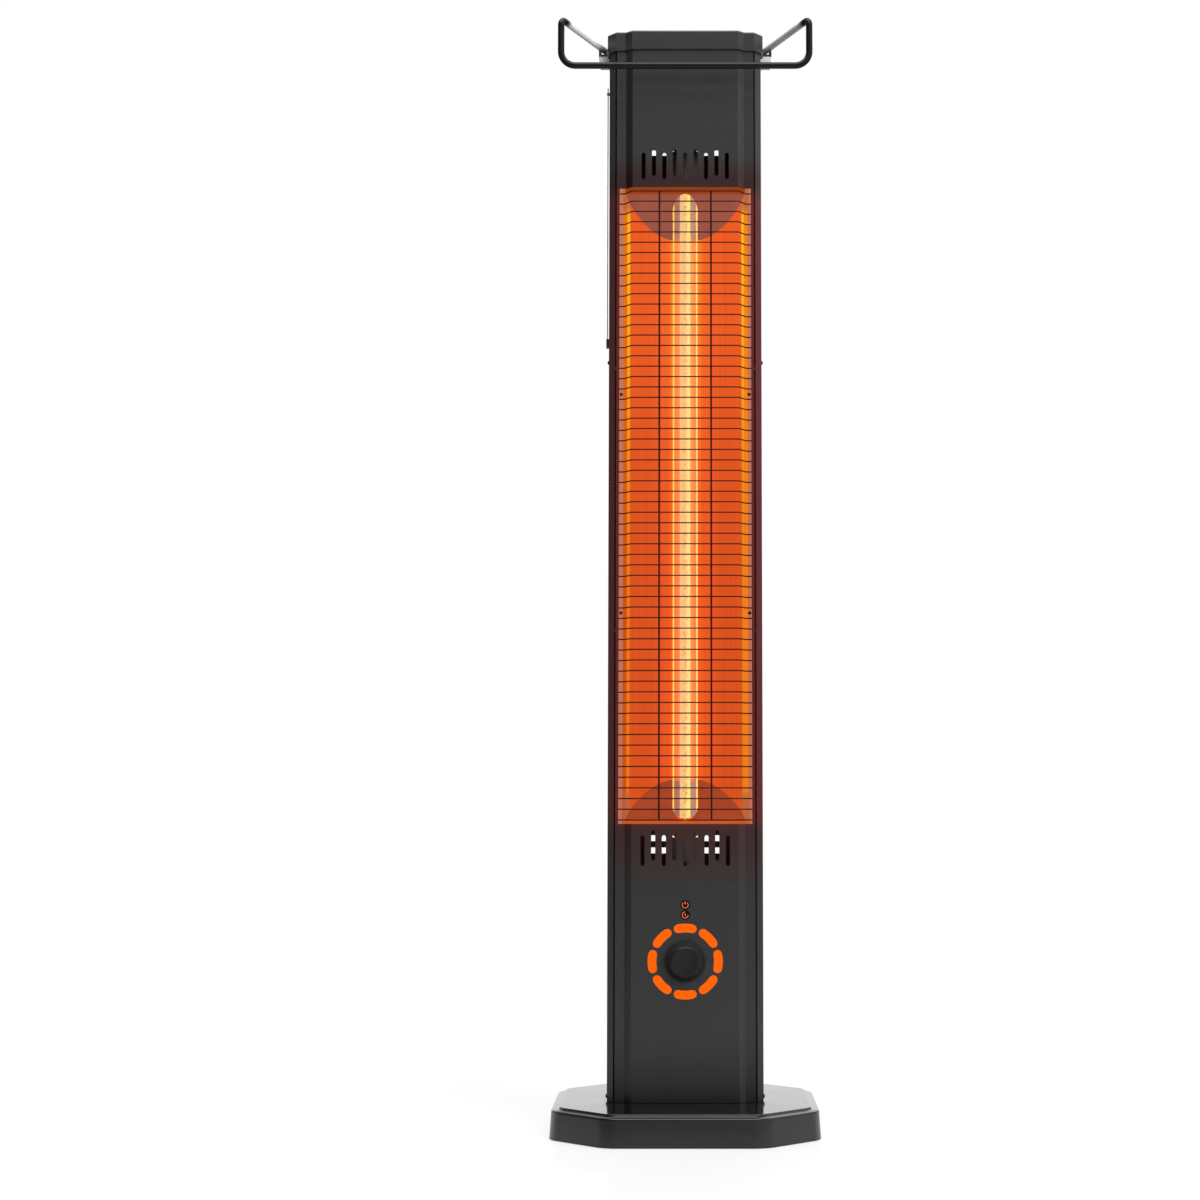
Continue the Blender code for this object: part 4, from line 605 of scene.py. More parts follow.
def rounded_path(corners: list[Point], radii: list[float], steps: int) -> list[Vector]:
    """A path through corner points whose inner corners become arcs.

    Args:
        corners: The corner points.
        radii: Radius of the arc at each inner corner.
        steps: Steps over each arc.

    Returns:
        The points of the path.
    """
    points = [Vector(corner) for corner in corners]
    path = [points[0]]
    for before, corner, after, radius in zip(points, points[1:], points[2:], radii):
        back = (before - corner).normalized()
        ahead = (after - corner).normalized()
        half = back.angle(ahead) / 2
        centre = corner + (back + ahead).normalized() * (radius / math.sin(half))
        start = corner + back * (radius / math.tan(half)) - centre
        axis = start.cross(corner - centre).normalized()
        sweep = math.pi - 2 * half
        path += [centre + Matrix.Rotation(sweep * k / steps, 3, axis) @ start for k in range(steps + 1)]
    path.append(points[-1])
    return path


def swept_rod(path: list[Vector], radius: float, sides: int) -> Mesh:
    """Carry a circle along a path and close both ends.

    Args:
        path: Points of the rod's middle line.
        radius: The rod's radius.
        sides: Corners of its section.

    Returns:
        The rod as a closed mesh.
    """
    runs = [(b - a).normalized() for a, b in zip(path, path[1:])]
    aims = [runs[0]] + [(a + b).normalized() for a, b in zip(runs, runs[1:])] + [runs[-1]]
    bm = bmesh.new()
    ring = bmesh.ops.create_circle(bm, cap_ends=False, segments=sides, radius=radius)["verts"]
    bmesh.ops.transform(bm, matrix=Matrix.Translation(path[0]) @ turn(UP, aims[0]), verts=ring)
    rims = list(bm.edges)
    bmesh.ops.edgenet_fill(bm, edges=rims)
    for here, there, aim, next_aim in zip(path, path[1:], aims, aims[1:]):
        grown = bmesh.ops.extrude_edge_only(bm, edges=rims)["geom"]
        rims = only(Edge, grown)
        move = Matrix.Translation(there) @ turn(aim, next_aim) @ Matrix.Translation(-here)
        bmesh.ops.transform(bm, matrix=move, verts=only(Vert, grown))
    bmesh.ops.edgenet_fill(bm, edges=rims)
    bmesh.ops.recalc_face_normals(bm, faces=bm.faces)
    return bm


def turned(profile: list[Span], centre: Point, toward: Point, steps: int) -> Mesh:
    """Spin an open (radius, height) profile into a solid.

    Args:
        profile: Radius and height of each point, both ends on the axis.
        centre: Place of the profile's zero height.
        toward: Direction of growing height.
        steps: Steps round the axis.

    Returns:
        The turned mesh.
    """
    bm = bmesh.new()
    verts = [bm.verts.new((radius, 0.0, height)) for radius, height in profile]
    edges = [bm.edges.new(pair) for pair in zip(verts, verts[1:])]
    bmesh.ops.spin(bm, geom=verts + edges, cent=(0, 0, 0), axis=(0, 0, 1), angle=math.tau, steps=steps,
                   use_merge=True)
    bmesh.ops.remove_doubles(bm, verts=bm.verts, dist=MERGE)
    bmesh.ops.recalc_face_normals(bm, faces=bm.faces)
    move = Matrix.Translation(centre) @ turn(UP, Vector(toward))
    bmesh.ops.transform(bm, matrix=move, verts=bm.verts)
    return bm


def block(low: Point, high: Point) -> Mesh:
    """A box between two corners, as the start of a shape.

    Args:
        low: The lowest corner.
        high: The highest corner.

    Returns:
        The box.
    """
    bm = bmesh.new()
    bmesh.ops.create_cube(bm, size=1.0)
    middle = (Vector(low) + Vector(high)) / 2
    size = Vector(high) - Vector(low)
    move = Matrix.Translation(middle) @ Matrix.Diagonal((*size, 1.0))
    bmesh.ops.transform(bm, matrix=move, verts=bm.verts)
    return bm


def plate(outline: list[Point], thickness: Point) -> Mesh:
    """A flat plate from an outline.

    Args:
        outline: The outline's points, in order.
        thickness: The way and distance that the outline is carried.

    Returns:
        The plate as a closed mesh.
    """
    bm = bmesh.new()
    face = bm.faces.new([bm.verts.new(point) for point in outline])
    grown = bmesh.ops.extrude_face_region(bm, geom=[face], use_keep_orig=True)["geom"]
    bmesh.ops.translate(bm, verts=only(Vert, grown), vec=thickness)
    bmesh.ops.recalc_face_normals(bm, faces=bm.faces)
    return bm


def joined(parts: list[Mesh]) -> Mesh:
    """Several meshes as one.

    Args:
        parts: The meshes, which are freed.

    Returns:
        One mesh that holds them all.
    """
    whole = bmesh.new()
    for part in parts:
        holder = bpy.data.meshes.new("holder")
        part.to_mesh(holder)
        part.free()
        whole.from_mesh(holder)
        bpy.data.meshes.remove(holder)
    return whole


def stand(name: str, data: bpy.types.ID) -> bpy.types.Object:
    """Put an object into the scene.

    Args:
        name: The object's name.
        data: Its mesh, lamp or camera.

    Returns:
        The new object.
    """
    obj = bpy.data.objects.new(name, data)
    bpy.context.scene.collection.objects.link(obj)
    return obj


def piece(name: str, bm: Mesh, finish: Finish, body: Body = Body.HEATER,
          nodes: tuple[str, ...] = (), crease: float | None = 35.0) -> bpy.types.Object:
    """Make a finished piece of a mesh that is drawn in its real place.

    Args:
        name: The piece's name.
        bm: Its mesh.
        finish: Its finish.
        body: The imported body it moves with.
        nodes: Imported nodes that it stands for.
        crease: Angle in degrees above which an edge stays sharp, or None to keep the
            smooth and flat faces as they are.

    Returns:
        The new object.
    """
    mesh = bpy.data.meshes.new(name)
    bm.to_mesh(mesh)
    bm.free()
    if crease is not None:
        mesh.shade_smooth()
        mesh.set_sharp_from_angle(angle=math.radians(crease))
    mesh.materials.append(finish.material())
    obj = stand(name, mesh)
    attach(obj, body.value)
    if nodes:
        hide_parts(*nodes)
    LOG.info("piece %s: %d faces", name, len(mesh.polygons))
    return obj


def thicken(sheet: bpy.types.Object, thickness: float, offset: float) -> None:
    """Give an open sheet its wall.

    Args:
        sheet: The sheet's object.
        thickness: The wall's thickness.
        offset: -1 for a wall inside the sheet, 0 for one to both sides of it.
    """
    wall = sheet.modifiers.new("Wall", "SOLIDIFY")
    wall.thickness = thickness
    wall.offset = offset


# Sub-assemblies


@dataclass
class Heater:
    """What every sub-assembly needs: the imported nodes, the column's front and the tests for edges."""

    nodes: dict[str, bpy.types.Object]
    front: float = -0.050
    flat_angle: float = math.radians(0.5)
    smooth_angle: float = math.radians(2.0)
    sharp_angle: float = math.radians(25.0)
    facet_ratio: float = 3.0
    rim_slack: float = 1e-4

    def depth(self, distance: float) -> float:
        """World Y of a depth counted back from the column's front."""
        return self.front + distance

    def named(self, start: str) -> list[str]:
        """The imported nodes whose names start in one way."""
        return [name for name in self.nodes if name.startswith(start)]

    def dress(self, finish: Finish, *names: str) -> None:
        """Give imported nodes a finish.

        Args:
            finish: The finish.
            names: The nodes' names.
        """
        for name in names:
            mesh = self.nodes[name].data
            mesh.materials.clear()
            mesh.materials.append(finish.material())
            LOG.info("node %s: %s", name, finish.name)

    def soften(self, node: str, finish: Finish, slot: str, width: float, rim: float = 0.0) -> None:
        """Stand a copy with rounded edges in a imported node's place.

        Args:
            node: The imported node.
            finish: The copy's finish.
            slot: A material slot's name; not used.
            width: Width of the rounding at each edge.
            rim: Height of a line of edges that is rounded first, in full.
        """
        source = self.nodes[node]
        bm = bmesh.new()
        bm.from_mesh(source.data)
        bmesh.ops.transform(bm, matrix=source.matrix_world, verts=bm.verts)
        bmesh.ops.remove_doubles(bm, verts=bm.verts, dist=MERGE)
        bmesh.ops.dissolve_limit(bm, angle_limit=self.flat_angle, verts=bm.verts, edges=bm.edges)
        bmesh.ops.recalc_face_normals(bm, faces=bm.faces)
        angles = {edge: edge.calc_face_angle(0.0) for edge in bm.edges}
        for face in bm.faces:
            face.smooth = False
        for edge, angle in angles.items():
            if self.smooth_angle < angle < self.sharp_angle:
                least = min(face.calc_area() for face in edge.link_faces)
                for face in edge.link_faces:
                    face.smooth = face.smooth or face.calc_area() < self.facet_ratio * least
        sharp = [edge for edge, angle in angles.items() if angle > self.sharp_angle]
        line = [edge for edge in sharp if all(abs(vert.co.z - rim) < self.rim_slack for vert in edge.verts)]
        rounded = bezel(bm, line, width, segments=4, clamp=False) if line else []
        rounded += bezel(bm, [edge for edge in sharp if edge.is_valid], width, segments=3)
        for face in rounded:
            if face.is_valid:
                face.smooth = True
        piece("soft_" + node, bm, finish, nodes=(node,), crease=None)


@dataclass
class BaseFoot(Heater):
    """Weighted eight-sided base with its cover, plate, ballast and pads."""

    width: float = 0.237
    corner: float = 0.050
    vertex_radius: float = 0.024
    rim: float = 0.0004
    wall_top: float = 0.0250
    draft: float = 0.0016
    ledge: float = 0.0065
    ledge_rise: float = 0.0008
    step: float = 0.0019
    step_slant: float = 0.0005
    top_margin: float = 0.0020
    crown_inset: float = 0.0460
    crown_rise: float = 0.0012
    rim_round: float = 0.0010
    fold_round: float = 0.0005
    step_round: float = 0.0007
    round_steps: int = 5
    low_cut: float = 0.0006
    high_cut: float = 0.0020
    wall: float = 0.0025
    gloss: Finish = field(default_factory=lambda: Finish(
        "gloss_cover_paint", (0.0055, 0.0055, 0.0058), 0.17, coat=0.55, coat_roughness=0.06, grain=420.0,
        grain_bump=0.02, mottle=0.06))

    def cover(self) -> None:
        """Cover with drafted wall, ledge, step and gently crowned top, all edges rounded."""
        half = self.width / 2
        bm = block((-half, -half, self.rim), (half, half, self.wall_top))
        for width, steps in ((self.corner, 1), (self.vertex_radius * math.tan(math.pi / 8), 8)):
            rises = {edge: abs((edge.verts[0].co - edge.verts[1].co).z) for edge in bm.edges}
            bezel(bm, [edge for edge, rise in rises.items() if rise > self.wall_top / 2], width, steps)
        tops = [vert for vert in bm.verts if vert.co.z > self.wall_top - MERGE]
        share = (half - self.draft) / half
        bmesh.ops.scale(bm, vec=(share, share, 1.0), verts=tops)
        lid = max(bm.faces, key=lambda face: face.calc_center_median().z)
        roundings = []
        for inset, rise, width in ((self.ledge, self.ledge_rise, self.rim_round),
                                   (self.step_slant, self.step, self.fold_round),
                                   (self.top_margin, 0.0, self.step_round)):
            roundings.insert(0, (list(lid.edges), width))
            bmesh.ops.inset_region(bm, faces=[lid], thickness=inset, depth=rise, use_even_offset=True)
        crown = only(Vert, bmesh.ops.extrude_face_region(bm, geom=[lid])["geom"])
        bmesh.ops.delete(bm, geom=[lid], context="FACES_ONLY")
        share = (half - self.crown_inset) / max(vert.co.x for vert in crown)
        bmesh.ops.scale(bm, vec=(share, share, 1.0), verts=crown)
        bmesh.ops.translate(bm, verts=crown, vec=(0.0, 0.0, self.crown_rise))
        for edges, width in roundings:
            bezel(bm, edges, width, self.round_steps)
        for height in (self.rim + self.low_cut, self.wall_top - self.high_cut):
            bmesh.ops.bisect_plane(bm, geom=list(bm.verts) + list(bm.edges) + list(bm.faces),
                                   plane_co=(0.0, 0.0, height), plane_no=UP)
        floor = min(bm.faces, key=lambda face: face.calc_center_median().z)
        bmesh.ops.delete(bm, geom=[floor], context="FACES_ONLY")
        bmesh.ops.recalc_face_normals(bm, faces=bm.faces)
        thicken(piece("cover_shell", bm, self.gloss, nodes=("base_cover",), crease=50.0),
                self.wall, -1.0)

    def build(self) -> None:
        """Build the cover and dress the rest."""
        self.cover()
        self.dress(Finish("plate_coat", (0.03, 0.03, 0.032), 0.5), "base_bottom_plate")
        self.dress(Finish("cast_iron", (0.11, 0.105, 0.10), 0.7, metallic=0.7, grain=260.0, grain_bump=0.5),
                   "base_ballast")
        self.dress(Finish("pad_rubber", grey(0.018), 0.85, grain=700.0, grain_bump=0.4),
                   *self.named("foot_pad"))


@dataclass
class Column(Heater):
    """Housing, front panel, cap, screws and the small fixings seen on them."""

    coat: PowderCoatPaintedGlow = field(default_factory=lambda: PowderCoatPaintedGlow(
        "column_coat", (0.0154, 0.0154, 0.0156), 0.34, specular=0.68, grain=1500.0, grain_bump=0.08,
        mottle=0.04))
    sheet_round: float = 0.0004
    cap_round: float = 0.0005
    cap_edge: float = 0.0009
    clip_heights: Span = (0.6815, 0.4446)
    clip_side: float = 0.06295
    clip_depths: Span = (0.0052, 0.0085)
    clip_half: Span = (0.0009, 0.0016)
    clip_round: float = 0.0004

    def seam_clips(self) -> None:
        """Small dark clips in the seams beside the window."""
        near, far = (self.depth(distance) for distance in self.clip_depths)
        half_width, half_height = self.clip_half
        parts = []
        for x in (-self.clip_side, self.clip_side):
            for z in self.clip_heights:
                clip = block((x - half_width, near, z - half_height), (x + half_width, far, z + half_height))
                bezel(clip, list(clip.edges), self.clip_round, segments=2)
                parts.append(clip)
        piece("seam_clips", joined(parts), Finish("clip_black", grey(0.006), 0.5))

    def build(self) -> None:
        """Dress the shell and add the seam clips."""
        for node in ("rear_housing", "front_panel"):
            self.soften(node, self.coat, "black_coat", self.sheet_round)
        cap_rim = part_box("top_cap")[1].z - self.cap_edge
        self.soften("top_cap", self.coat, "black_coat", self.cap_round, cap_rim)
        self.dress(Finish("screw_black", grey(0.010), 0.35, metallic=0.4), *self.named("side_screw"))
        self.seam_clips()


@dataclass
class GuardCage(Heater):
    """Round guard wires with bent ends, welded to two upright bars."""

    wires: int = 61
    wire_radius: float = 0.00056
    bar_radius: float = 0.00085
    bar_half: float = 0.02335
    bar_reach: float = 0.0006
    weld: float = 0.0003
    low: float = 0.2763
    high: float = 0.8443
    half_wire: tuple[Span, ...] = ((0.0608, 0.0112), (0.0550, 0.0112), (0.0484, 0.0006))
    bend_radius: float = 0.0022
    finish: Finish = field(default_factory=lambda: Finish(
        "guard_black", (0.022, 0.0050, 0.0042), 0.60, specular=0.15, grain=1200.0, grain_bump=0.08))

    def build(self) -> None:
        """Sweep one wire through its ends and bends, repeat it up the window and add the bars."""
        corners = [(-x, self.depth(y), self.low) for x, y in self.half_wire]
        corners += [(x, self.depth(y), self.low) for x, y in reversed(self.half_wire)]
        wire = rounded_path(corners, [self.bend_radius] * 4, steps=3)
        bm = swept_rod(wire, self.wire_radius, sides=8)
        first = list(bm.verts) + list(bm.edges) + list(bm.faces)
        pitch = (self.high - self.low) / (self.wires - 1)
        for count in range(1, self.wires):
            copy = bmesh.ops.duplicate(bm, geom=first)["geom"]
            bmesh.ops.translate(bm, verts=only(Vert, copy), vec=(0.0, 0.0, pitch * count))
        parts = [bm]
        y = self.depth(2 * self.wire_radius + self.bar_radius - self.weld)
        for x in (-self.bar_half, self.bar_half):
            ends = [Vector((x, y, z)) for z in (self.low - self.bar_reach, self.high + self.bar_reach)]
            parts.append(swept_rod(ends, self.bar_radius, sides=10))
        guard = joined(parts)
        piece("round_wire_guard", guard, self.finish, nodes=("wire_guard",), crease=50.0)


@dataclass
class Trough(Heater):
    """Polished reflector with its flanges, rivets and slanting end plates."""

    sheet: float = 0.0008
    mouth_half: float = 0.0553
    bowl_half: float = 0.0520
    bowl_edge: float = 0.0200
    bowl_depth: float = 0.0420
    curve: float = 2.5
    front_depth: float = 0.0133
    tab_half: float = 0.0605
    tab_depth: float = 0.0223
    low: float = 0.2688
    high: float = 0.8518
    steps: int = 56
    rivet: tuple[Span, ...] = ((0.0, 0.0), (0.0016, 0.0), (0.0014, 0.0006), (0.0007, 0.0009), (0.0, 0.0010))
    rivet_side: float = 0.0578
    rivet_heights: Span = (0.6599, 0.4613)
    glow: TroughGlow = field(default_factory=lambda: TroughGlow(
        "trough_polish_painted_glow", (0.012, 0.005, 0.003), 0.30, metallic=1.0, grain=240.0, grain_bump=0.03,
        bands=(
            # Painted reflection bands: distance from the middle, colour low down, colour high up.
            (0.0000, (0.975, 0.130, 0.018), (0.980, 0.270, 0.030)),
            (0.0130, (0.960, 0.122, 0.017), (0.985, 0.240, 0.026)),
            (0.0157, (0.870, 0.106, 0.018), (0.950, 0.150, 0.022)),
            (0.0266, (0.780, 0.092, 0.016), (0.905, 0.120, 0.020)),
            (0.0349, (0.715, 0.086, 0.014), (0.860, 0.112, 0.018)),
            (0.0500, (0.730, 0.090, 0.014), (0.870, 0.117, 0.018)),
            (0.0514, (0.840, 0.200, 0.016), (0.940, 0.460, 0.022)),
            (0.0524, (0.870, 0.260, 0.018), (0.940, 0.560, 0.021)),
            (0.0534, (0.700, 0.090, 0.001), (0.900, 0.200, 0.001)),
            (0.0558, (0.600, 0.080, 0.008), (0.780, 0.180, 0.010)),
            (0.0572, (0.530, 0.185, 0.120), (0.540, 0.195, 0.125)),
        )))
    # Painted glow of each end plate: the plate's light and the deeper light at its front edge.
    plates: dict[str, tuple[Colour, Colour]] = field(default_factory=lambda: {
        "upper": ((0.34, 0.088, 0.057), (0.30, 0.048, 0.005)),
        "lower": ((0.38, 0.050, 0.010), (0.56, 0.085, 0.010))})

    def sheet_line(self) -> list[Point]:
        """Middle line of the reflector's lower edge.

        Returns:
            Its points, from right to left.
        """
        front = self.depth(self.front_depth + self.sheet / 2)
        tab = self.depth(self.tab_depth)
        right = [(self.tab_half, tab), (self.tab_half, front), (self.mouth_half, front)]
        bowl = []
        for count in range(self.steps + 1):
            x = self.bowl_half * math.cos(math.pi * count / self.steps)
            share = abs(x) / self.bowl_half
            depth = self.bowl_depth - (self.bowl_depth - self.bowl_edge) * share ** self.curve
            bowl.append((x, self.depth(depth)))
        return [(x, y, self.low) for x, y in right + bowl + [(-x, y) for x, y in reversed(right)]]

    def rivets(self) -> None:
        """Small round rivets on the flanges."""
        y = self.depth(self.front_depth)
        parts = [turned(self.rivet, (x, y, z), (0.0, -1.0, 0.0), steps=16)
                 for x in (-self.rivet_side, self.rivet_side) for z in self.rivet_heights]
        piece("flange_rivets", joined(parts), Finish("rivet_dark", (0.10, 0.05, 0.04), 0.35, metallic=0.8))

    def build(self) -> None:
        """Build the trough and rivets, and dress the end plates."""
        bm = bmesh.new()
        verts = [bm.verts.new(point) for point in self.sheet_line()]
        edges = [bm.edges.new(pair) for pair in zip(verts, verts[1:])]
        grown = bmesh.ops.extrude_edge_only(bm, edges=edges)["geom"]
        bmesh.ops.translate(bm, verts=only(Vert, grown), vec=(0.0, 0.0, self.high - self.low))
        thicken(piece("trough_liner", bm, self.glow, nodes=("reflector",), crease=30.0),
                self.sheet, 0.0)
        self.rivets()
        for place, (light, lip_glow) in self.plates.items():
            self.dress(PlateGlow("end_plate_" + place, (0.02, 0.01, 0.008), 0.45, metallic=1.0, light=light,
                                 grain=300.0, uneven=0.10, lip_glow=lip_glow), "reflector_end_" + place)


@dataclass
class HeatTube(Heater):
    """Glowing element in its clear tube, ceramic holders and shelves."""

    centre_depth: float = 0.0265
    element_radius: float = 0.0050
    end_share: float = 0.12
    bead: tuple[Span, ...] = ((0.94, 0.04), (1.0, 0.30), (1.0, 0.70))
    bead_pitch: float = 0.0042
    hot_low: float = 0.2778
    hot_high: float = 0.8502

    def element(self) -> None:
        """Wound element: a row of soft beads over the hot length, with thin ends."""
        low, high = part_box("carbon_element")
        count = round((self.hot_high - self.hot_low) / self.bead_pitch)
        pitch = (self.hot_high - self.hot_low) / count
        thin = self.element_radius * self.end_share
        profile = [(0.0, low.z), (thin, low.z), (thin, self.hot_low)]
        for bead in range(count):
            base = self.hot_low + bead * pitch
            profile += [(self.element_radius * share, base + pitch * place) for share, place in self.bead]
        profile += [(thin, self.hot_high), (thin, high.z), (0.0, high.z)]
        bm = turned(profile, (0.0, self.depth(self.centre_depth), 0.0), (0.0, 0.0, 1.0), steps=20)
        glow = ElementGlow("element_glow", (0.03, 0.02, 0.015), 0.7, light=(0.97, 0.56, 0.22), grain=600.0,
                           specular=0.05)
        piece("wound_element", bm, glow, nodes=("carbon_element",), crease=60.0)

    def build(self) -> None:
        """Build the element and dress the tube's neighbours."""
        self.element()
        self.dress(ClearTube("tube_glass", (0.30, 0.20, 0.15), 0.08, specular=0.12), "quartz_tube")
        # Painted shade: the holders, shelves and cutout are painted darker than their own colour, for the
        # shade inside the housing.
        self.dress(Finish("holder_ceramic_painted_shade", (0.085, 0.070, 0.062), 0.60, grain=500.0, grain_bump=0.2),
                   "tube_holder_lower", "tube_holder_upper")
        self.dress(Finish("shelf_steel_painted_shade", (0.10, 0.095, 0.095), 0.50, metallic=0.9, grain=300.0),
                   "tube_shelf_lower", "tube_shelf_upper", "thermal_cutout")
        self.dress(Finish("lead_sleeve", (0.62, 0.60, 0.55), 0.75, grain=1400.0, grain_bump=0.5),
                   "lead_upper", "lead_lower")


@dataclass
class Controls(Heater):
    """Knob, light ring, lit signs and the electronics behind them."""

    height: float = 0.1522
    knob_back: float = -0.0020
    skirt_radius: float = 0.0178
    knob_outline: tuple[Span, ...] = (
        (0.0, 0.0), (0.0172, 0.0), (0.0178, 0.0005), (0.0178, 0.0038), (0.0171, 0.0048), (0.0160, 0.0050),
        (0.0152, 0.0056), (0.0141, 0.0103), (0.0136, 0.0115), (0.0127, 0.0123), (0.0116, 0.0125),
        (0.0104, 0.0122), (0.0, 0.0119))
    teeth: int = 60
    tooth_reach: float = 0.0008
    tooth_depth: float = 0.0004
    sign_heights: Span = (0.2017, 0.1929)
    sign_radius: float = 0.0026
    stroke_width: float = 0.00062
    stroke_steps: int = 28
    stroke_gap: float = 0.00002
    stroke_rise: float = 0.0001

    def knob(self) -> None:
        """Knob with a finely toothed skirt, a step and a slightly dished face."""
        back = (0.0, self.depth(self.knob_back), self.height)
        bm = turned(self.knob_outline, back, (0.0, -1.0, 0.0), steps=2 * self.teeth)
        middle = Vector((0.0, 0.0, self.height))
        valleys = []
        for vert in bm.verts:
            flat = Vector((vert.co.x, 0.0, vert.co.z)) - middle
            place = round(math.atan2(flat.z, flat.x) / math.tau * 2 * self.teeth)
            if flat.length > self.skirt_radius - self.tooth_reach and place % 2:
                valleys.append(vert)
        share = (self.skirt_radius - self.tooth_depth) / self.skirt_radius
        bmesh.ops.scale(bm, vec=(share, 1.0, share), space=Matrix.Translation(-middle), verts=valleys)
        finish = KnobSatin("knob_satin", (0.0085, 0.0085, 0.0088), 0.75, specular=0.30, grain=1600.0,
                           grain_bump=0.05)
        piece("dial_knob", bm, finish, Body.DIAL, ("control_knob",), crease=28.0)

    def stroke(self, centre: float, start: float, end: float) -> Mesh:
        """A thin lit arc round a sign's middle.

        Args:
            centre: Height of the sign's middle.
            start: First angle in degrees from +X.
            end: Last angle.

        Returns:
            The arc as a flat solid.
        """
        turns = [start + (end - start) * k / self.stroke_steps for k in range(self.stroke_steps + 1)]
        y = self.depth(-self.stroke_gap)
        outline = []
        for half, way in ((self.stroke_width / 2, turns), (-self.stroke_width / 2, reversed(turns))):
            radius = self.sign_radius + half
            outline += [(radius * math.cos(math.radians(angle)), y,
                         centre + radius * math.sin(math.radians(angle))) for angle in way]
        return plate(outline, (0.0, -self.stroke_rise, 0.0))

    def bar(self, centre: float, low: Span, high: Span) -> Mesh:
        """A thin lit bar between two corners, across and up from the sign's middle."""
        back = self.depth(-self.stroke_gap)
        return block((low[0], back - self.stroke_rise, centre + low[1]), (high[0], back, centre + high[1]))

    def signs(self) -> None:
        """The power sign and the timer sign as thin lit strokes."""
        power, timer = self.sign_heights
        glow = Glow("sign_light", (0.02, 0.004, 0.002), 0.5, light=(1.0, 0.20, 0.08), specular=0.1)
        for name, centre, start, end, low, high in (
                ("power_sign", power, 132.0, 408.0, (-0.0004, 0.0006), (0.0004, 0.0030)),
                ("timer_sign", timer, 92.0, 362.0, (-0.0003, -0.0006), (0.0005, 0.0011))):
            parts = [self.stroke(centre, start, end), self.bar(centre, low, high)]
            piece(name, joined(parts), glow)

    def build(self) -> None:
        """Build the knob and the signs and dress the electronics."""
        self.knob()
        self.signs()
        self.dress(Glow("ring_light", (0.02, 0.003, 0.0), 0.5, light=(1.0, 0.130, 0.0), specular=0.1,
                        grain=700.0, uneven=0.03), "light_ring")
        self.dress(Finish("lens_black", grey(0.003), 0.30, specular=0.1, grain_bump=0.03), "sign_lens")
        self.dress(Finish("shaft_steel", (0.50, 0.50, 0.51), 0.28, metallic=1.0, grain=500.0), "knob_shaft")
        self.dress(Finish("moulded_black", (0.016, 0.016, 0.017), 0.48, grain_bump=0.2),
                   "push_slider", "encoder_body", "power_relay", "terminal_block", "cable_gland",
                   "tip_switch_frame", "tip_microswitch")
        self.dress(Finish("board_green", (0.020, 0.110, 0.045), 0.42, coat=0.4, grain=260.0, mottle=0.35),
                   "control_board", "power_board")
        self.dress(Finish("sink_aluminium", (0.60, 0.61, 0.62), 0.36, metallic=1.0, grain=320.0), "heat_sink")
        self.dress(Finish("tip_brass", (0.58, 0.42, 0.20), 0.34, metallic=1.0, grain=420.0), "tip_pendulum")


@dataclass
class TopRail(Heater):
    """Bent rod rail with its brackets, and the thin rod on the left side."""

    rod_radius: float = 0.0030
    arm: float = 0.9971
    bar: float = 0.9540
    half: float = 0.1120
    front_gap: float = 0.0200
    end: Point = (0.0738, -0.016, 0.9850)
    top_radius: float = 0.0045
    corner_radius: float = 0.0130
    # Where the painted grey reflection on the arms begins and is full, along Y.
    rail_dark: Span = (-0.0665, -0.0600)
    hook_dark: Span = (0.9764, 0.9770)
    bracket_round: float = 0.0003

    def rail(self) -> None:
        """One smooth bent rod from end to end."""
        y = self.depth(-self.front_gap)
        right = [self.end, (self.half, y, self.arm), (self.half, y, self.bar)]
        left = [(-x, depth, z) for x, depth, z in reversed(right)]
        radii = [self.top_radius, self.corner_radius, self.corner_radius, self.top_radius]
        path = rounded_path(right + left, radii, steps=10)
        # Painted reflection: the arms that run back are grey for the white behind them that they mirror; the
        # front bar keeps the black coat.
        start, end = self.rail_dark
        finish = TwoTone("rail_coat_painted_reflection", (0.0055, 0.0055, 0.0057), 0.24, specular=0.25, grain=1200.0,
                         grain_bump=0.01, other=grey(0.58), axis=Axis.Y, start=start, end=end)
        rod = swept_rod(path, self.rod_radius, sides=20)
        piece("bent_rail", rod, finish, nodes=("top_rail",), crease=60.0)

    def build(self) -> None:
        """Build the rail and dress its brackets and the side rod."""
        self.rail()
        start, end = self.hook_dark
        bracket = TwoTone("bracket_coat", grey(0.52), 0.45, other=grey(0.012), start=start, end=end)
        for node in ("rail_bracket_left", "rail_bracket_right"):
            self.soften(node, bracket, "black_coat", self.bracket_round)
        zinc = Finish("zinc_steel", (0.50, 0.50, 0.51), 0.36, metallic=1.0, grain=320.0, mottle=0.2)
        self.dress(zinc, "rail_screw_left", "rail_screw_right", "foot_bracket", *self.named("foot_bolt"))
        self.dress(Finish("side_rod_steel", grey(0.80), 0.35, metallic=0.3, grain=700.0), "side_rod")
        self.dress(Finish("clip_grey", grey(0.16), 0.5), "side_rod_clip")
        self.dress(Finish("rod_foot_brown", (0.055, 0.035, 0.036), 0.5), "side_rod_foot")


# Studio


@dataclass(frozen=True)
class Lamp:
    """A soft square lamp, its power in watts."""

    name: str
    place: Point
    aim: Point
    side: float
    power: float
    mirrored: bool = True

    def hang(self) -> None:
        """Hang the lamp and point it at its aim. Shiny pieces show it only if it is mirrored."""
        data = bpy.data.lights.new(self.name, "AREA")
        data.size = self.side
        data.energy = self.power
        lamp = stand(self.name, data)
        lamp.location = self.place
        lamp.rotation_euler = (Vector(self.aim) - Vector(self.place)).to_track_quat("-Z", "Y").to_euler()
        lamp.visible_glossy = self.mirrored


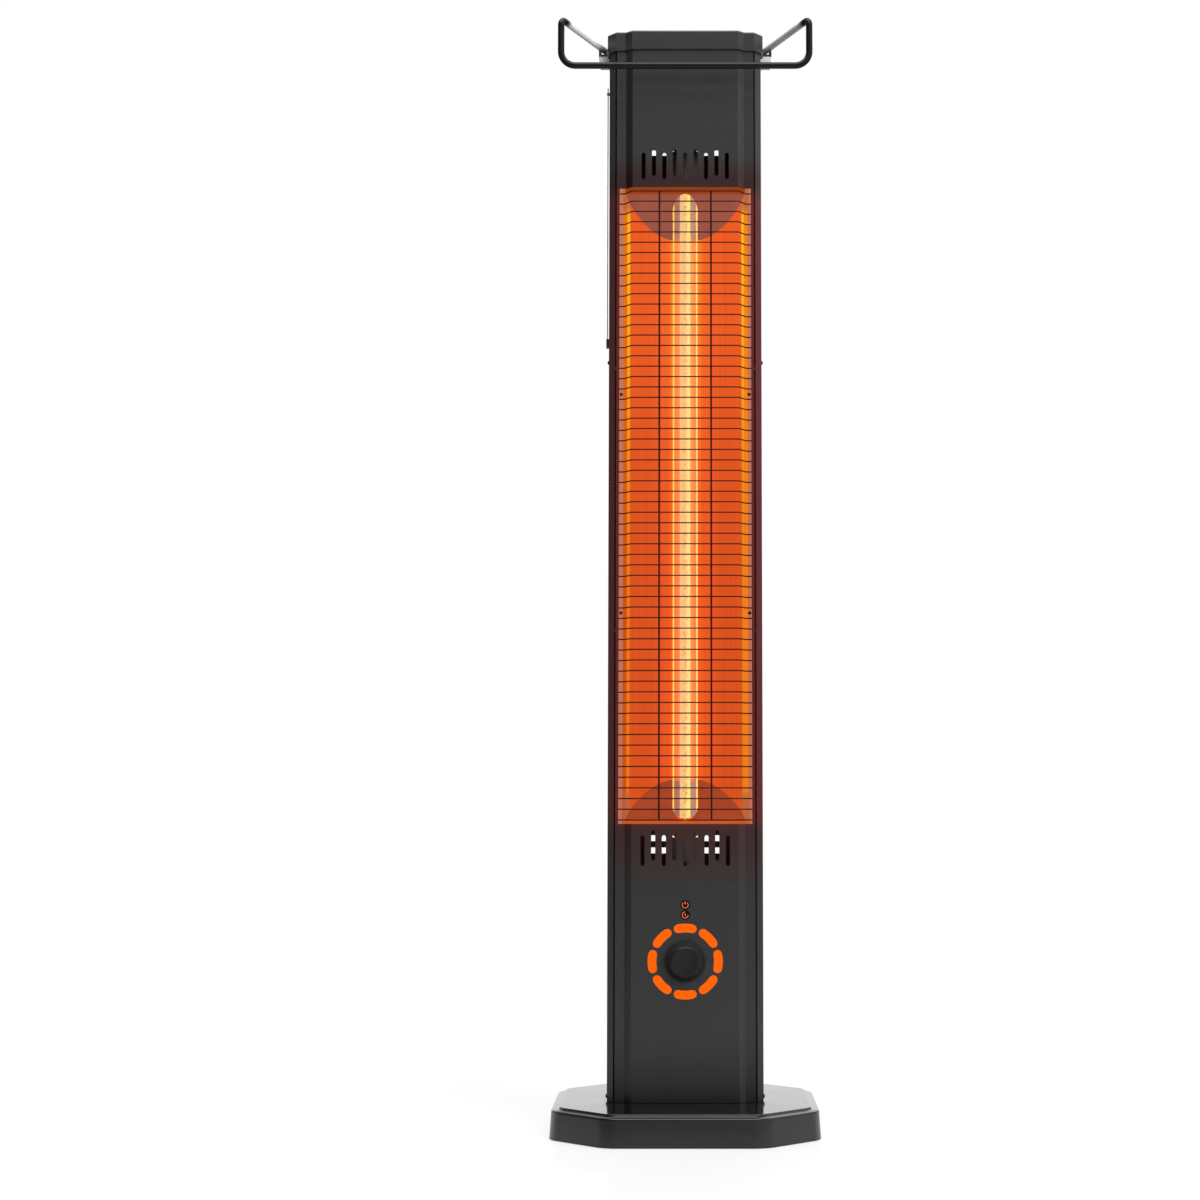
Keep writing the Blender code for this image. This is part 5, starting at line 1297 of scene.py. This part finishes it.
@dataclass
class Studio:
    """Camera, pale floor, white surroundings and soft lamps."""

    eye: Point = (0.0, -2.078, 0.2975)
    tilt: float = 4.913
    lens: float = 68.4
    sensor: float = 36.0
    shift: float = -0.071
    floor_radius: float = 3.0
    floor_fade: Span = (0.55, 1.3)
    floor_paint: float = 0.45
    seen_paint: float = 0.24
    seen_lift: float = 0.73
    floor_gloss: float = 0.10
    gloss_tone: float = 0.98
    gloss_roughness: float = 0.12
    front_tones: Span = (0.04, 0.70)
    low_tones: Span = (0.22, 0.40)
    front_top: float = 0.06
    flank_tones: Span = (0.14, 1.0)
    flank_left: float = 0.40
    flank_top: float = 0.05
    matt_light: float = 0.16
    to_right: Span = (-0.75, 0.95)
    to_left: Span = (0.2, -0.2)
    horizon: Span = (-0.02, 0.10)
    front_to_top: Span = (0.60, 0.80)
    flank_rise: Span = (0.25, 0.30)
    flank_to_top: Span = (0.80, 0.90)
    to_flank: Span = (0.08, 0.35)
    to_back: Span = (0.80, 0.90)
    back_top: Span = (0.38, 0.24)
    lamps: tuple[Lamp, ...] = (
        Lamp("key", (1.7, -2.1, 1.3), (0.0, 0.0, 0.5), 1.8, 96.0, False),
        Lamp("ceiling", (0.0, -0.9, 2.7), (0.0, -0.9, 0.0), 2.4, 72.0),
        Lamp("back_fill", (0.0, 2.4, 2.4), (0.0, 0.0, 0.5), 2.0, 55.0, False))

    def camera(self) -> None:
        """Camera at the photograph's place."""
        data = bpy.data.cameras.new("view")
        data.lens = self.lens
        data.sensor_width = self.sensor
        data.shift_x = self.shift
        camera = stand("view", data)
        camera.location = self.eye
        camera.rotation_euler = (math.radians(90.0 + self.tilt), 0.0, 0.0)
        bpy.context.scene.camera = camera

    def floor(self) -> None:
        """Pale floor that keeps the shadow and fades into the white round it."""
        bm = bmesh.new()
        bmesh.ops.create_circle(bm, cap_ends=True, segments=64, radius=self.floor_radius)
        mesh = bpy.data.meshes.new("pale_floor")
        bm.to_mesh(mesh)
        bm.free()
        floor = stand("pale_floor", mesh)
        material = bpy.data.materials.new("pale_floor")
        material.use_nodes = True
        recipe = Recipe(material.node_tree)
        seen = recipe.node("ShaderNodeLightPath", {}, {}).output("Is Camera Ray")
        distance = recipe.node("ShaderNodeVectorMath", {"operation": "LENGTH"}, {0: recipe.place()})
        paint = recipe.blend(grey(self.floor_paint), grey(self.seen_paint), seen)
        matt = recipe.node("ShaderNodeBsdfDiffuse", {}, {"Color": paint})
        lift = recipe.node("ShaderNodeEmission", {}, {"Color": WHITE, "Strength": seen * self.seen_lift})
        lit = recipe.node("ShaderNodeAddShader", {}, {0: matt, 1: lift})
        gloss = recipe.node("ShaderNodeBsdfGlossy", {},
                            {"Color": grey(self.gloss_tone), "Roughness": self.gloss_roughness})
        surface = recipe.node("ShaderNodeMixShader", {}, {0: self.floor_gloss, 1: lit, 2: gloss})
        clear = recipe.node("ShaderNodeBsdfTransparent", {}, {})
        fade = distance.output("Value").between(*self.floor_fade)
        recipe.finish(recipe.node("ShaderNodeMixShader", {}, {0: fade, 1: surface, 2: clear}))
        mesh.materials.append(material)

    def world(self) -> None:
        """White for the camera, and a studio that is brighter behind and at the right."""
        world = bpy.data.worlds.new("studio")
        world.use_nodes = True
        bpy.context.scene.world = world
        recipe = Recipe(world.node_tree)
        rays = recipe.node("ShaderNodeLightPath", {}, {})
        straight = rays.math("MAXIMUM", rays.output("Is Camera Ray"), rays.output("Is Transmission Ray"))
        way = recipe.node("ShaderNodeTexCoord", {}, {}).output("Generated")
        parts = recipe.node("ShaderNodeSeparateXYZ", {}, {0: way})
        x, y, z = (parts.output(axis) for axis in "XYZ")
        right = x.between(*self.to_right)
        front = recipe.blend(*map(grey, self.front_tones), right)
        low = recipe.blend(*map(grey, self.low_tones), right)
        front = recipe.blend(low, front, z.between(*self.horizon))
        front = recipe.blend(front, grey(self.front_top), z.between(*self.front_to_top))
        flank = recipe.blend(*map(grey, self.flank_tones), z.between(*self.flank_rise))
        flank = recipe.blend(flank, grey(self.flank_left), x.between(*self.to_left))
        flank = recipe.blend(flank, grey(self.flank_top), z.between(*self.flank_to_top))
        studio = recipe.blend(front, flank, y.between(*self.to_flank))
        studio = recipe.blend(studio, WHITE, y.between(*self.to_back) * z.between(*self.back_top))
        shown = recipe.blend(grey(self.matt_light), studio, rays.output("Is Glossy Ray"))
        colour = recipe.blend(shown, WHITE, straight)
        background = recipe.node("ShaderNodeBackground", {}, {"Color": colour, "Strength": 1.0})
        recipe.node("ShaderNodeOutputWorld", {}, {"Surface": background})

    def build(self) -> None:
        """Set up the whole studio."""
        bpy.context.scene.view_settings.view_transform = "Standard"
        self.camera()
        self.floor()
        self.world()
        for lamp in self.lamps:
            lamp.hang()
        LOG.info("studio ready")


def main() -> None:
    """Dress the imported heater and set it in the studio."""
    logging.basicConfig(level=logging.INFO, format="%(name)s: %(message)s")
    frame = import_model()
    Studio().build()
    nodes = frame["nodes"]
    for assembly in (BaseFoot, Column, GuardCage, Trough, HeatTube, Controls, TopRail):
        assembly(nodes).build()
    LOG.info("all pieces in place")


if __name__ == "__main__":
    main()
